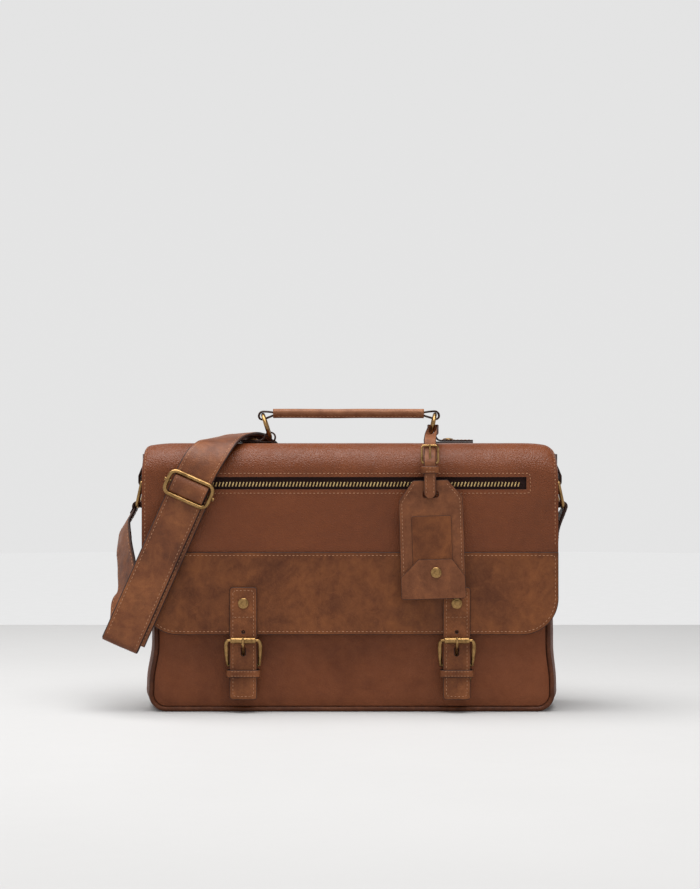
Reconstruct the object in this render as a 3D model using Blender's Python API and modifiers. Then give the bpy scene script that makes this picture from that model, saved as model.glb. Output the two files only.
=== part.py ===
"""Leather flap briefcase: hollow body, hinged flap with a zip pocket, two buckle straps,
a top handle on brass rings, a luggage tag and a long shoulder strap. Metres, +Z up.
X runs along the bag, -Y is the front and the bag stands on z = 0."""
import math

import bmesh
import bpy
from mathutils import Matrix, Vector
from mathutils.geometry import tessellate_polygon

for old in list(bpy.data.objects):
    bpy.data.objects.remove(old, do_unlink=True)

MM = 0.001

# ---- driving dimensions, in millimetres ----
GAP = 0.3              # air between pieces that touch
BODY_Y = 50.4          # outer faces of the front and back panels
PANEL_T = 2.8          # body leather
FRONT_TOP = 246.0      # top edge of the front panel
BACK_TOP = 260.0       # top edge of the back panel
PIPE_R = 2.4           # piping radius
PIPE_Y = 48.0          # piping line
BODY_CORNER = 15.0     # lower corners of the panels
GUSSET_Y = 45.0        # half depth of the gusset
GUSSET_T = 2.5
GUSSET_SIDE = 1.0      # the gusset leather thickens inwards from its outer face
GUSSET_BULGE = 9.0     # the gussets swell outwards
FLAP_HALF = 204.5      # half width of the flap
FLAP_TOP = 265.0
FLAP_FACE = -60.3      # outer face of the flap's upper panel
FLAP_T = 2.0
FLAP_BEND = 30.0       # bend at the front top edge
FLAP_REAR = 50.0
HINGE_Y = 50.0
HINGE_Z = 263.2
HEM_Z = 77.0           # lower edge of the flap
HEM_R = 36.0           # lower corners of the flap
OVERLAY_TOP = 158.0
OVERLAY_FACE = -62.3
BUCKLE_X = 104.5       # centre lines of the two buckle straps
STRAP_W = 27.0
STRAP_BACK = -62.6
STRAP_FACE = -65.1
RING_R = 12.0          # handle ring, centre line
RING_WIRE = 1.9
SHOULDER_W = 38.0
SHOULDER_T = 2.8
SHOULDER_TILT = 24.0   # lean of the shoulder strap across the front, degrees
SLIDER_X = -157.0
SLIDER_Z = 220.0
TAG_X = 78.2
TAG_TOP = 228.7
TAG_TILT = 1.7         # degrees

col = bpy.data.collections.new("briefcase")
bpy.context.scene.collection.children.link(col)
cut_col = bpy.data.collections.new("cutters")
bpy.context.scene.collection.children.link(cut_col)

MATERIALS = {
    "leather": (0.20, 0.09, 0.05, 0.0, 0.6),
    "leather_dark": (0.10, 0.04, 0.025, 0.0, 0.6),
    "leather_tan": (0.30, 0.14, 0.08, 0.0, 0.6),
    "tape": (0.04, 0.02, 0.02, 0.0, 0.8),
    "brass": (0.60, 0.42, 0.16, 1.0, 0.35),
}


def material(kind, name):
    r, g, b, metal, rough = MATERIALS[kind]
    mat = bpy.data.materials.new(name)
    mat.use_nodes = True
    bsdf = mat.node_tree.nodes["Principled BSDF"]
    bsdf.inputs["Base Color"].default_value = (r, g, b, 1.0)
    bsdf.inputs["Metallic"].default_value = metal
    bsdf.inputs["Roughness"].default_value = rough
    return mat


def finish(obj, kind, where=None):
    """Give the object its material and put it in the collection."""
    (where or col).objects.link(obj)
    if kind:
        obj.data.materials.append(material(kind, obj.name))
    return obj


def pivot(name, at):
    """An empty on a joint's axis, which carries the moving pieces."""
    empty = bpy.data.objects.new(name, None)
    empty.empty_display_size = 0.02
    empty.location = Vector(at) * MM
    bpy.context.scene.collection.objects.link(empty)
    return empty


def hold(obj, empty):
    """Parent a piece to its pivot without moving it."""
    if empty:
        obj.parent = empty
        obj.matrix_parent_inverse = Matrix.Translation(-empty.location)
    return obj


def sheet(name, rows, thick, kind, offset=0.0, mask=None, loop=False, on=None):
    """An open surface through rows of points, with Solidify. Masked cells are holes."""
    count = len(rows)
    cols = len(rows[0])
    faces = []
    for i in range(count if loop else count - 1):
        for j in range(cols - 1):
            if mask and mask(i, j):
                continue
            k = (i + 1) % count
            faces.append((i * cols + j, i * cols + j + 1, k * cols + j + 1, k * cols + j))
    mesh = bpy.data.meshes.new(name)
    mesh.from_pydata([Vector(p) * MM for row in rows for p in row], [], faces)
    bm = bmesh.new()
    bm.from_mesh(mesh)
    bmesh.ops.delete(bm, geom=[v for v in bm.verts if not v.link_faces], context="VERTS")
    bm.to_mesh(mesh)
    bm.free()
    obj = finish(bpy.data.objects.new(name, mesh), kind)
    mod = obj.modifiers.new("thickness", "SOLIDIFY")
    mod.thickness = thick * MM
    mod.offset = offset
    mod.use_even_offset = True
    mod.use_rim = True
    return hold(obj, on)


def ribbon(name, stations, thick, kind, across=(-1.0, 1.0), mask=None, loop=False, on=None):
    """A strap along stations of (centre, width direction, width)."""
    n = len(stations)
    rows = []
    for i in range(n):
        c, w, width = stations[i]
        before = Vector(stations[(i - 1) % n if loop else max(i - 1, 0)][0])
        after = Vector(stations[(i + 1) % n if loop else min(i + 1, n - 1)][0])
        t = (after - before).normalized()
        w = Vector(w)
        w = (w - t * w.dot(t)).normalized()
        rows.append([Vector(c) + w * (a * width / 2) for a in across])
    return sheet(name, rows, thick, kind, 0.0, mask, loop, on)


def wire(name, path, radius, kind, closed=False, on=None, res=2):
    """A round wire along a path. radius is one number or one for each point."""
    curve = bpy.data.curves.new(name, "CURVE")
    curve.dimensions = "3D"
    curve.bevel_resolution = res
    curve.use_fill_caps = True
    radii = radius if isinstance(radius, (list, tuple)) else [radius] * len(path)
    curve.bevel_depth = max(radii) * MM
    spline = curve.splines.new("POLY")
    spline.points.add(len(path) - 1)
    for point, place, r in zip(spline.points, path, radii):
        point.co = (*(Vector(place) * MM), 1.0)
        point.radius = r / max(radii)
    spline.use_cyclic_u = closed
    return hold(finish(bpy.data.objects.new(name, curve), kind), on)


def turned(name, profile, centre, axis, kind, steps=20, on=None, ring=False):
    """A turned piece: a profile of (radius, distance along the axis) with Screw."""
    mesh = bpy.data.meshes.new(name)
    edges = [(k, k + 1) for k in range(len(profile) - 1)]
    if ring:
        edges.append((len(profile) - 1, 0))
    mesh.from_pydata([(r * MM, 0.0, h * MM) for r, h in profile], edges, [])
    obj = finish(bpy.data.objects.new(name, mesh), kind)
    obj.rotation_euler = Vector((0, 0, 1)).rotation_difference(Vector(axis)).to_euler()
    obj.location = Vector(centre) * MM
    mod = obj.modifiers.new("turn", "SCREW")
    mod.steps = steps
    mod.render_steps = steps
    mod.use_merge_vertices = True
    mod.merge_threshold = 0.00001
    mod.use_normal_flip = True
    bpy.context.view_layer.update()
    return hold(obj, on)


FRONT = Matrix.Rotation(math.pi / 2, 4, "X")
SIDE = Matrix(((0, 0, 1, 0), (1, 0, 0, 0), (0, 1, 0, 0), (0, 0, 0, 1)))


def plate(name, loops, low, high, kind, frame=FRONT, at=(0, 0, 0), on=None):
    """A flat outline with holes, as a 2D curve with an extrude.

    low and high are its faces along the frame's third axis. FRONT outlines are
    (x, z) with faces at -y, and SIDE outlines are (y, z) with faces at x."""
    curve = bpy.data.curves.new(name, "CURVE")
    curve.dimensions = "2D"
    curve.fill_mode = "BOTH"
    curve.extrude = abs(high - low) / 2 * MM
    for outline in loops:
        spline = curve.splines.new("POLY")
        spline.points.add(len(outline) - 1)
        for point, (a, b) in zip(spline.points, outline):
            point.co = (a * MM, b * MM, 0.0, 1.0)
        spline.use_cyclic_u = True
    obj = finish(bpy.data.objects.new(name, curve), kind)
    middle = Matrix.Translation((0, 0, (low + high) / 2 * MM))
    obj.matrix_world = Matrix.Translation(Vector(at) * MM) @ frame @ middle
    bpy.context.view_layer.update()
    return hold(obj, on)


def upright(name, loops, y0, y1, kind, on=None):
    """A plate parallel to the front, between y0 and y1."""
    return plate(name, loops, -y0, -y1, kind, on=on)


def block(name, low, high, kind=None, where=None):
    """A box between two corners, from the cube primitive."""
    bpy.ops.mesh.primitive_cube_add(size=1.0)
    obj = bpy.context.object
    obj.name = name
    obj.data.name = name
    for c in list(obj.users_collection):
        c.objects.unlink(obj)
    a = Vector(low) * MM
    b = Vector(high) * MM
    obj.location = (a + b) / 2
    obj.scale = b - a
    return finish(obj, kind, where)


def arc(cx, cy, r, start, end, steps):
    out = []
    for i in range(steps + 1):
        a = math.radians(start + (end - start) * i / steps)
        out.append((cx + r * math.cos(a), cy + r * math.sin(a)))
    return out


def rounded(points, radii, steps=5):
    """A closed outline with its corners rounded."""
    n = len(points)
    out = []
    for i in range(n):
        p = Vector(points[i])
        a = Vector(points[i - 1])
        b = Vector(points[(i + 1) % n])
        r = radii[i] if isinstance(radii, (list, tuple)) else radii
        if r <= 0:
            out.append(tuple(p))
            continue
        da = (a - p).normalized()
        db = (b - p).normalized()
        half = da.angle(db) / 2
        cut = r / math.tan(half)
        centre = p + (da + db).normalized() * (r / math.sin(half))
        s = p + da * cut - centre
        e = p + db * cut - centre
        for k in range(steps + 1):
            v = s.lerp(e, k / steps)
            out.append(tuple(centre + v.normalized() * r))
    return out


def smooth(keys, steps):
    """A smooth run of points through the keys, each a tuple of numbers."""
    out = []
    n = len(keys)
    for i in range(n - 1):
        p0 = keys[max(i - 1, 0)]
        p1, p2 = keys[i], keys[i + 1]
        p3 = keys[min(i + 2, n - 1)]
        for s in range(steps):
            t = s / steps
            out.append(tuple(
                0.5 * ((2 * b) + (c - a) * t + (2 * a - 5 * b + 4 * c - d) * t * t
                       + (3 * b - a - 3 * c + d) * t ** 3)
                for a, b, c, d in zip(p0, p1, p2, p3)))
    out.append(tuple(keys[-1]))
    return out


def stations(keys, steps):
    """Ribbon stations from keys of (x, y, z, wx, wy, wz, width)."""
    return [((k[0], k[1], k[2]), (k[3], k[4], k[5]), k[6]) for k in smooth(keys, steps)]


# ---- body ----
def half_width(z, s):
    """The body pinches in a little above its base, more on its left."""
    keys = [(0.0, 197.0), (28.0, 196.0), (66.0, 191.0), (120.0, 192.5), (200.0, 194.0), (262.0, 194.0)]
    if s > 0:
        keys = [(0.0, 200.0), (28.0, 199.5), (66.0, 196.0), (120.0, 196.0), (200.0, 194.0), (262.0, 194.0)]
    for (z0, a), (z1, b) in zip(keys, keys[1:]):
        if z <= z1:
            t = max(0.0, (z - z0) / (z1 - z0))
            t = t * t * (3 - 2 * t)
            return a + (b - a) * t
    return keys[-1][1]


def body_line(top, steps=12):
    """The seam line round the body: down the left side, along the base, up the right."""
    low = PIPE_R + 0.3
    halves = []
    for s in (-1, 1):
        side = []
        for i in range(steps + 1):
            z = top + (low + BODY_CORNER - top) * i / steps
            side.append((s * half_width(z, s), z))
        corner_x = s * (half_width(low + BODY_CORNER, s) - BODY_CORNER)
        turn = arc(0, low + BODY_CORNER, BODY_CORNER, 180, 270, 6)[1:]
        side += [(corner_x - s * x, z) for x, z in turn]
        side += [(corner_x * (1 - k / 5), low) for k in range(1, 6)]
        halves.append(side)
    return halves[0] + halves[1][::-1][1:]


def offset_line(line, dist):
    """The line moved outwards by dist, one number or a function of (normal)."""
    out = []
    n = len(line)
    for i in range(n):
        ax, az = line[max(i - 1, 0)]
        bx, bz = line[min(i + 1, n - 1)]
        length = math.hypot(bx - ax, bz - az)
        nx, nz = (bz - az) / length, -(bx - ax) / length
        d = dist(nx, nz) if callable(dist) else dist
        out.append((line[i][0] + nx * d, line[i][1] + nz * d))
    return out


def panel(name, top, y0, y1):
    line = offset_line(body_line(top), -(PIPE_R + 0.4))
    upright(name, [line], y0, y1, "leather")


panel("front_panel", FRONT_TOP, -BODY_Y, -BODY_Y + PANEL_T)
panel("back_panel", BACK_TOP, BODY_Y - PANEL_T, BODY_Y)


def gusset():
    line = body_line(240.0)
    rows = []
    for k in range(9):
        y = GUSSET_Y * (k / 4 - 1)
        swell = GUSSET_BULGE * (1 - (y / GUSSET_Y) ** 2)
        base = PIPE_R + 0.3
        o = offset_line(line, lambda nx, nz: swell * abs(nx) ** 3 + base * abs(nz) ** 3)
        rows.append([(x, y, z) for x, z in o])
    sheet("gusset", rows, GUSSET_T, "leather", GUSSET_SIDE)


gusset()
wire("piping_front", [(x, -PIPE_Y, z) for x, z in body_line(FRONT_TOP)], PIPE_R, "leather_dark")
wire("piping_back", [(x, PIPE_Y, z) for x, z in body_line(250.0)], PIPE_R, "leather_dark")

# leather of the flap where it is sewn down the back panel
strip = [(-196.0, 214.0), (196.0, 214.0), (198.0, 260.0), (-198.0, 260.0)]
upright("flap_root_strip", [rounded(strip, [10.0, 10.0, 0.0, 0.0])], BODY_Y + GAP, BODY_Y + GAP + 2.0,
        "leather")

# magnetic snaps behind the buckle straps
SNAP_Z = 34.0
SNAP_DX = {"left": 0.0, "right": 5.5}
for side, sign in (("left", -1), ("right", 1)):
    x = sign * BUCKLE_X + SNAP_DX[side]
    turned("magnetic_snap_" + side, [(0, 0.0), (8.4, 0.0), (9.4, 1.4), (9.4, 2.4), (8.6, 3.2), (0, 3.2)],
          (x, -BODY_Y - GAP, SNAP_Z), (0, -1, 0), "brass")

# side tabs and the D rings they hold
DRING_X = 208.0
DRING_Z = 226.0
for side, s in (("left", -1), ("right", 1)):
    ring_out = s * (DRING_X + 3.6)
    loop = [(s * 204.4, 254.0), (s * 204.4, DRING_Z)]
    loop += [(s * (DRING_X - 3.6 * math.cos(math.radians(a))), DRING_Z - 3.6 * math.sin(math.radians(a)))
             for a in range(20, 181, 20)]
    loop += [(ring_out, DRING_Z + 6.0), (s * 207.6, DRING_Z + 14.0), (s * 207.0, 254.0)]
    ribbon("side_tab_" + side, [((x, 0, z), (0, 1, 0), 32.0) for x, z in loop], 1.8, "leather")
    tilt = math.radians(12.0)
    flat = rounded([(-22.0, 0.0), (22.0, 0.0), (22.0, -25.0), (-22.0, -25.0)], 4.0, 4)
    ring = [(s * (DRING_X - v * math.sin(tilt)), u, DRING_Z + v * math.cos(tilt)) for u, v in flat]
    wire("dring_" + side, ring, 2.0, "brass", True, pivot("dring_pivot_" + side, (s * DRING_X, 0, DRING_Z)))


# ---- flap ----
def flap_path(inset, start_y=FLAP_REAR, low=HEM_Z):
    """Side profile of the flap, from the hinge over the top and down the front."""
    r = FLAP_BEND - inset
    cy = FLAP_FACE + FLAP_BEND
    cz = FLAP_TOP - FLAP_BEND
    pts = [(start_y, FLAP_TOP - inset), (start_y - 40.0, FLAP_TOP - inset), (cy, FLAP_TOP - inset)]
    pts += arc(cy, cz, r, 90, 180, 8)[1:]
    return pts + [(cy - r, z) for z in (232.0, 218.0, low)]


FLAP = pivot("flap_pivot", (0, HINGE_Y, HINGE_Z))
SLOT_X = 173.0
profile = flap_path(0.0, FLAP_REAR, 148.0)
slot_row = len(profile) - 3
columns = (-FLAP_HALF, -SLOT_X, 0.0, SLOT_X, FLAP_HALF)
sheet("flap_upper_panel", [[(x, y, z) for x in columns] for y, z in profile], FLAP_T, "leather", 1.0,
      lambda i, j: i == slot_row and j in (1, 2), on=FLAP)

hem = [(-FLAP_HALF, OVERLAY_TOP), (-FLAP_HALF, HEM_Z), (FLAP_HALF, HEM_Z), (FLAP_HALF, OVERLAY_TOP)]
upright("flap_overlay", [rounded(hem, [0.0, HEM_R, HEM_R, 0.0], 10)], OVERLAY_FACE, OVERLAY_FACE + 1.7,
        "leather_dark", FLAP)


def backing():
    """Inner leather of the flap. It closes the zip pocket and meets the overlay at the hem."""
    top = FLAP_TOP - 3.6
    face = -57.0
    r = 26.0
    path = [(FLAP_REAR - 4.0, top), (10.0, top), (face + r, top)]
    path += arc(face + r, top - r, r, 90, 180, 8)[1:]
    path += [(face, 147.0), (-58.4, 141.0), (-60.2, 135.0), (-60.2, 120.0)]
    steps = 6
    low = HEM_Z + 0.8
    reach = HEM_R - 0.8
    path += [(-60.2, low + reach * (1 - math.sin(math.radians(90 * k / steps)))) for k in range(steps + 1)]
    rows = []
    for y, z in path:
        d = max(0.0, low + reach - z)
        half = FLAP_HALF - 0.8 - reach + math.sqrt(max(reach * reach - d * d, 0.0))
        rows.append([(-half, y, z), (0.0, y, z), (half, y, z)])
    sheet("flap_backing", rows, 1.4, "leather", 1.0, on=FLAP)


backing()

# zip: two tapes, two rows of teeth, slider and pull
ZIP_Z = 224.5
TAPE_Y = -58.0
for side, z0, z1 in (("upper", ZIP_Z + 0.2, 235.0), ("lower", 214.0, ZIP_Z - 0.2)):
    tape = [(-178.0, z0), (178.0, z0), (178.0, z1), (-178.0, z1)]
    upright("zip_tape_" + side, [tape], TAPE_Y, TAPE_Y + 0.8, "tape", FLAP)
chain = [(-172.0, ZIP_Z - 1.9), (172.0, ZIP_Z - 1.9), (172.0, ZIP_Z + 1.9), (-172.0, ZIP_Z + 1.9)]
upright("zip_teeth", [chain], TAPE_Y - 1.6, TAPE_Y - 0.3, "brass", FLAP)

ZIP_X = -163.0
BAR_Y = -64.6
ZIP = pivot("zip_slide", (ZIP_X, TAPE_Y, ZIP_Z))
ZIP.parent = FLAP
ZIP.matrix_parent_inverse = Matrix.Translation(-FLAP.location)
slider = block("zip_slider", (ZIP_X - 6.5, -61.8, ZIP_Z - 4.2), (ZIP_X + 6.5, -59.9, ZIP_Z + 4.2), "brass")
soften = slider.modifiers.new("soften", "BEVEL")
soften.width = 0.0008
soften.segments = 2
soften.limit_method = "NONE"
bridge = block("zip_bridge", (ZIP_X - 4.5, BAR_Y - 0.5, ZIP_Z - 0.8), (ZIP_X + 4.5, -61.0, ZIP_Z + 0.8),
               None, cut_col)
eye_hole = block("zip_bridge_hole", (ZIP_X - 3.4, BAR_Y + 0.5, ZIP_Z - 2.0),
                 (ZIP_X + 3.4, -62.0, ZIP_Z + 2.0), None, cut_col)
for cutter, what in ((bridge, "UNION"), (eye_hole, "DIFFERENCE")):
    cutter.hide_render = True
    cutter.display_type = "WIRE"
    join = slider.modifiers.new(cutter.name, "BOOLEAN")
    join.operation = what
    join.solver = "EXACT"
    join.object = cutter
    hold(cutter, ZIP)
bpy.context.view_layer.update()
hold(slider, ZIP)
PULL = pivot("zip_pull_pivot", (ZIP_X, BAR_Y, ZIP_Z))
tab = [(BAR_Y - 0.6, ZIP_Z - 22.0), (BAR_Y + 0.6, ZIP_Z - 22.0)] + arc(BAR_Y, ZIP_Z, 2.3, -75, 255, 18)
pull_hole = arc(BAR_Y, ZIP_Z, 1.25, 0, 360, 12)[:-1]
plate("zip_pull", [tab, pull_hole], ZIP_X - 2.2, ZIP_X + 2.2, "brass", SIDE, on=PULL)

# ---- buckle straps ----
STRAP_TOP = 124.0
STRAP_TIP = 13.5
RIVET_Z = 108.0
ROLLER_Z = 72.0
ROLLER_Y = -68.6
BAR_LOW_Z = 47.0
BAR_LOW_Y = -58.3
for side, s in (("left", -1), ("right", 1)):
    x = s * BUCKLE_X
    w = STRAP_W / 2
    corners = [(x - w, STRAP_TIP), (x + w, STRAP_TIP), (x + w, STRAP_TOP), (x - w, STRAP_TOP)]
    outline = rounded(corners, 3.0, 3)
    hole = [(x + px, 80.0 + pz) for px, pz in arc(0, 0, 1.2, 0, 360, 12)[:-1]]
    slot = rounded([(x - 1.9, 56.8), (x + 1.9, 56.8), (x + 1.9, 65.0), (x - 1.9, 65.0)], 1.7, 3)
    upright("buckle_strap_" + side, [outline, hole, slot], STRAP_FACE, STRAP_BACK, "leather_dark", FLAP)
    turned("rivet_" + side, [(0, 0.0), (5.3, 0.0), (5.1, 0.9), (3.8, 1.5), (0, 1.7)],
           (x, STRAP_FACE - GAP, RIVET_Z), (0, -1, 0), "brass", 20, FLAP)
    # frame: a bar in front of the strap for the roller, two arms, a bar behind the strap
    half = [(0.0, ROLLER_Y, ROLLER_Z), (13.0, ROLLER_Y, ROLLER_Z), (15.4, ROLLER_Y + 0.3, ROLLER_Z - 0.6),
            (16.6, ROLLER_Y + 1.5, ROLLER_Z - 3.5), (16.7, -65.4, 63.5), (16.3, -62.0, 55.0),
            (15.4, BAR_LOW_Y - 1.0, BAR_LOW_Z + 1.4), (14.2, BAR_LOW_Y, BAR_LOW_Z),
            (0.0, BAR_LOW_Y, BAR_LOW_Z)]
    loop = [(x + a, y, z) for a, y, z in half] + [(x - a, y, z) for a, y, z in half[1:-1][::-1]]
    thick = [1.4, 1.4, 1.6, 2.0, 2.0, 1.6, 1.4, 1.4, 1.4]
    wire("buckle_frame_" + side, loop, thick + thick[1:-1][::-1], "brass", True, FLAP)
    turned("roller_" + side, [(1.7, -12.2), (3.0, -12.2), (3.0, 12.2), (1.7, 12.2)],
           (x, ROLLER_Y, ROLLER_Z), (1, 0, 0), "brass", 20, None, True)
    hook = [(BAR_LOW_Y + 2.8 * math.cos(math.radians(a)), BAR_LOW_Z + 2.8 * math.sin(math.radians(a)))
            for a in range(80, -181, -20)]
    pin = [(x, y, z) for y, z in hook]
    pin += [(x, -61.2, 51.5), (x, -61.3, 56.5), (x, -63.6, 60.6), (x, -67.4, 63.8), (x, -71.6, 67.2),
            (x, -73.2, 72.5), (x, -72.7, 75.0)]
    thick = [1.0] * (len(pin) - 4) + [1.3, 1.4, 1.3, 1.0]
    wire("prong_" + side, pin, thick, "brass", False, FLAP)
    # short tongue of leather behind the strap, folded round the lower bar
    fold = [(-59.0, 25.0), (-59.0, 38.0), (-60.6, 43.5)]
    fold += [(BAR_LOW_Y + 2.5 * math.cos(math.radians(a)), BAR_LOW_Z + 2.5 * math.sin(math.radians(a)))
             for a in range(180, -1, -20)]
    fold += [(-56.8, 43.2), (-57.1, 38.0), (-57.1, 18.0)]
    ribbon("buckle_tongue_" + side, [((x, y, z), (1, 0, 0), 22.0) for y, z in fold], 1.4, "leather_dark",
           (-1.0, -0.2, 0.2, 1.0), lambda i, j: j == 1 and 2 <= i <= 12, on=FLAP)
    band = rounded([(x - 15.4, -66.1), (x + 15.4, -66.1), (x + 15.4, -55.1), (x - 15.4, -55.1)], 2.0, 3)
    ribbon("keeper_" + side, [((a, b, 39.2), (0, 0, 1), 7.6) for a, b in band], 1.5, "leather_dark",
           loop=True, on=FLAP)

# ---- handle ----
GRIP_LOW = 290.2
GRIP_TOP = 299.6
RING_Z = 282.3
PIVOT_Z = 282.3
RINGS = {"left": (-84.2, 18.0), "right": (83.3, 12.0)}      # centre x and outward lean, degrees
grip = rounded([(-13.0, GRIP_LOW), (13.0, GRIP_LOW), (13.0, GRIP_TOP), (-13.0, GRIP_TOP)], 4.2, 5)
HANDLE = pivot("handle_pivot", (0, 0, PIVOT_Z))
plate("handle_grip", [grip], -77.4, 74.4, "leather_tan", SIDE, on=HANDLE)
for side, s in (("left", -1), ("right", 1)):
    cx, lean = RINGS[side]
    a = math.radians(lean)
    ring = []
    for k in range(24):
        t = 2 * math.pi * k / 24
        up = RING_R * math.cos(t)
        ring.append((cx + s * up * math.sin(a), RING_R * math.sin(t), RING_Z + up * math.cos(a)))
    wire("ring_" + side, ring, RING_WIRE, "brass", True, pivot("ring_pivot_" + side, (cx, 0, RING_Z)), 3)
    # leather loop from the end of the grip round the top of the ring
    tx = cx + s * RING_R * math.sin(a)
    tz = RING_Z + RING_R * math.cos(a)
    end = -77.4 - GAP if s < 0 else 74.4 + GAP
    path = [(end, tz + 4.2)]
    path += [(tx + s * 4.3 * math.sin(math.radians(k)), tz + 4.3 * math.cos(math.radians(k)))
             for k in range(0, 181, 20)]
    path += [(tx - s * 3.4, tz - 4.6), (tx - s * 6.8, tz - 3.2), (end, GRIP_LOW + 1.0)]
    ribbon("handle_loop_" + side, [((px, 0, pz), (0, 1, 0), 11.0) for px, pz in path], 1.5, "leather_tan",
           on=HANDLE)
    # tab on the flap, folded round the bottom of the ring
    bx = cx - s * RING_R * math.sin(a)
    bz = RING_Z - RING_R * math.cos(a)
    low = FLAP_TOP + GAP + 0.8
    drop = bz - low
    out = 124.0 * s
    path = [(out, low), (bx + s * 2.0, low)]
    path += [(bx - s * drop * math.sin(math.radians(k)), bz - drop * math.cos(math.radians(k)))
             for k in range(0, 181, 20)]
    path += [(bx + s * 3.0, bz + drop - 0.4), (bx + s * 8.0, low + 2.6), (bx + s * 11.0, low + 2.1)]
    path += [(out, low + 2.1)]
    ribbon("handle_tab_" + side, [((px, 0, pz), (0, 1, 0), 10.5) for px, pz in path], 1.6, "leather_tan",
           on=FLAP)
    turned("tab_rivet_" + side, [(0, 0.0), (5.0, 0.0), (4.8, 0.8), (3.4, 1.4), (0, 1.6)],
           (s * 99.0, 0, low + 2.1 + 0.8 + GAP), (0, 0, 1), "brass", 20, FLAP)


# ---- luggage tag ----
def tag_point(u, v, y):
    """A point on the tag: u across and v down from the middle of its top edge."""
    a = math.radians(TAG_TILT)
    return (TAG_X + u * math.cos(a) + v * math.sin(a), y, TAG_TOP - v * math.cos(a) + u * math.sin(a))


def tag_plate(name, loops, back, face, kind):
    """A layer of the tag. Its outline is (across, up from the top edge)."""
    lean = Matrix.Rotation(math.radians(-TAG_TILT), 4, "Y")
    flat = [[(u, -v) for u, v in lp] for lp in loops]
    plate(name, flat, -back, -face, kind, lean @ FRONT, (TAG_X, 0, TAG_TOP), TAG)


TAG = pivot("tag_pivot", (TAG_X, -67.8, 262.0))
tag = rounded([(-17.0, 0.0), (17.0, 0.0), (31.2, 17.0), (31.6, 116.0), (-31.6, 116.0), (-31.2, 20.0)], 3.0, 3)
slot = rounded([(-7.5, 10.6), (7.5, 10.6), (7.5, 16.8), (-7.5, 16.8)], 1.5, 3)
tag_plate("tag_back", [tag, slot], -69.9, -71.3, "leather")
tag_plate("tag_front", [tag, slot], -71.6, -73.0, "leather")
tongue = rounded([(-19.5, 34.6), (19.5, 34.6), (19.5, 88.0), (-19.5, 88.0)], [2.0, 2.0, 6.0, 6.0], 4)
tag_plate("tag_tongue", [tongue], -73.3, -74.3, "leather_dark")
pocket = [(-14.0, 77.0), (19.0, 77.0), (31.2, 94.0), (31.6, 115.6), (-31.6, 115.6), (-31.4, 94.0)]
pocket = rounded(pocket, 2.5, 3)
tag_plate("tag_pocket", [pocket], -74.6, -75.9, "leather")
turned("tag_snap", [(0, 0.0), (5.3, 0.0), (5.1, 0.9), (3.8, 1.5), (0, 1.7)], tag_point(3.0, 90.0, -76.2),
       (0, -1, 0), "brass", 20, TAG)

loop_keys = [
    (78.4, -66.6, 262.6, 1, 0, 0, 11.7), (78.6, -62.5, 268.5, 1, 0, 0, 11.7),
    (79.6, -54.0, 272.2, 1, 0, 0, 11.5), (83.0, -36.0, 274.2, 0.8, 0, 0.6, 10.0),
    (87.4, -22.0, 277.5, 0.1, 0, 1, 8.4), (88.3, -12.0, 279.6, 0, 0, 1, 8.0),
    (87.3, -8.0, 279.7, 0, 0, 1, 8.0), (83.4, -5.9, 279.7, 0, 0, 1, 8.0), (79.4, -8.0, 279.7, 0, 0, 1, 8.0),
    (78.4, -12.0, 279.6, 0, 0, 1, 8.0), (78.4, -22.0, 277.5, -0.1, 0, 1, 8.4),
    (78.6, -36.0, 270.6, -0.97, 0, 0.24, 10.0), (78.4, -50.0, 268.0, -1, 0, 0, 11.5),
    (78.3, -58.0, 266.0, -1, 0, 0, 11.7), (78.2, -63.0, 262.8, -1, 0, 0, 11.7)]
ribbon("tag_strap_loop", stations(loop_keys, 3), 1.4, "leather_dark", on=FLAP)
front_leg = [(78.3, -67.7, 260.6), (78.2, -70.2, 256.0), (78.0, -74.6, 250.5), (77.9, -77.2, 245.5),
             (77.8, -77.6, 234.0), (77.8, -77.6, 217.0)]
keys = [(x, y, z, 1, 0, 0, 11.7) for x, y, z in front_leg]
keys += [(77.8, -77.6, 214.0, 1, 0, 0, 9.6), (77.8, -77.6, 211.6, 1, 0, 0, 4.0)]
ribbon("tag_strap_front", stations(keys, 2), 1.4, "leather_dark", (-1.0, -0.22, 0.22, 1.0),
       lambda i, j: j == 1 and i in (3, 4), on=TAG)
back_leg = [(78.1, -64.2, 260.8), (78.1, -66.6, 254.0), (78.2, -68.6, 244.0), (78.3, -68.7, 225.0),
            (78.4, -68.8, 217.4), (78.5, -70.6, 214.9), (78.5, -73.6, 214.9), (78.5, -74.8, 217.6),
            (78.4, -74.9, 230.0), (78.2, -74.6, 238.0), (78.1, -74.4, 241.6)]
ribbon("tag_strap_back", stations([(x, y, z, 1, 0, 0, 11.0) for x, y, z in back_leg], 2), 1.4, "leather_dark",
       on=TAG)
loop = []
for u, v in rounded([(-7.9, 262.6), (7.9, 262.6), (7.9, 245.4), (-7.9, 245.4)], 2.0, 3):
    loop.append((78.0 + u, -73.6 + (v - 245.4) * 4.4 / 17.2, v))
wire("tag_buckle", loop, 1.1, "brass", True, TAG)
pin = [(78.0, -73.6 + 1.95 * math.cos(math.radians(a)), 245.4 + 1.95 * math.sin(math.radians(a)))
       for a in range(60, -181, -30)]
pin += [(78.0, -74.7, 247.0), (78.0, -75.0, 249.2), (78.0, -75.4, 253.0), (78.0, -73.4, 259.0),
        (78.0, -71.7, 263.6)]
wire("tag_prong", pin, [0.6] * (len(pin) - 4) + [0.9] * 4, "brass", False, TAG)
band = rounded([(69.9, -79.1), (85.9, -79.1), (85.9, -72.0), (69.9, -72.0)], 1.6, 3)
ribbon("tag_keeper", [((a, b, 239.0), (0, 0, 1), 7.0) for a, b in band], 1.0, "leather_dark", loop=True,
       on=TAG)

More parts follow.
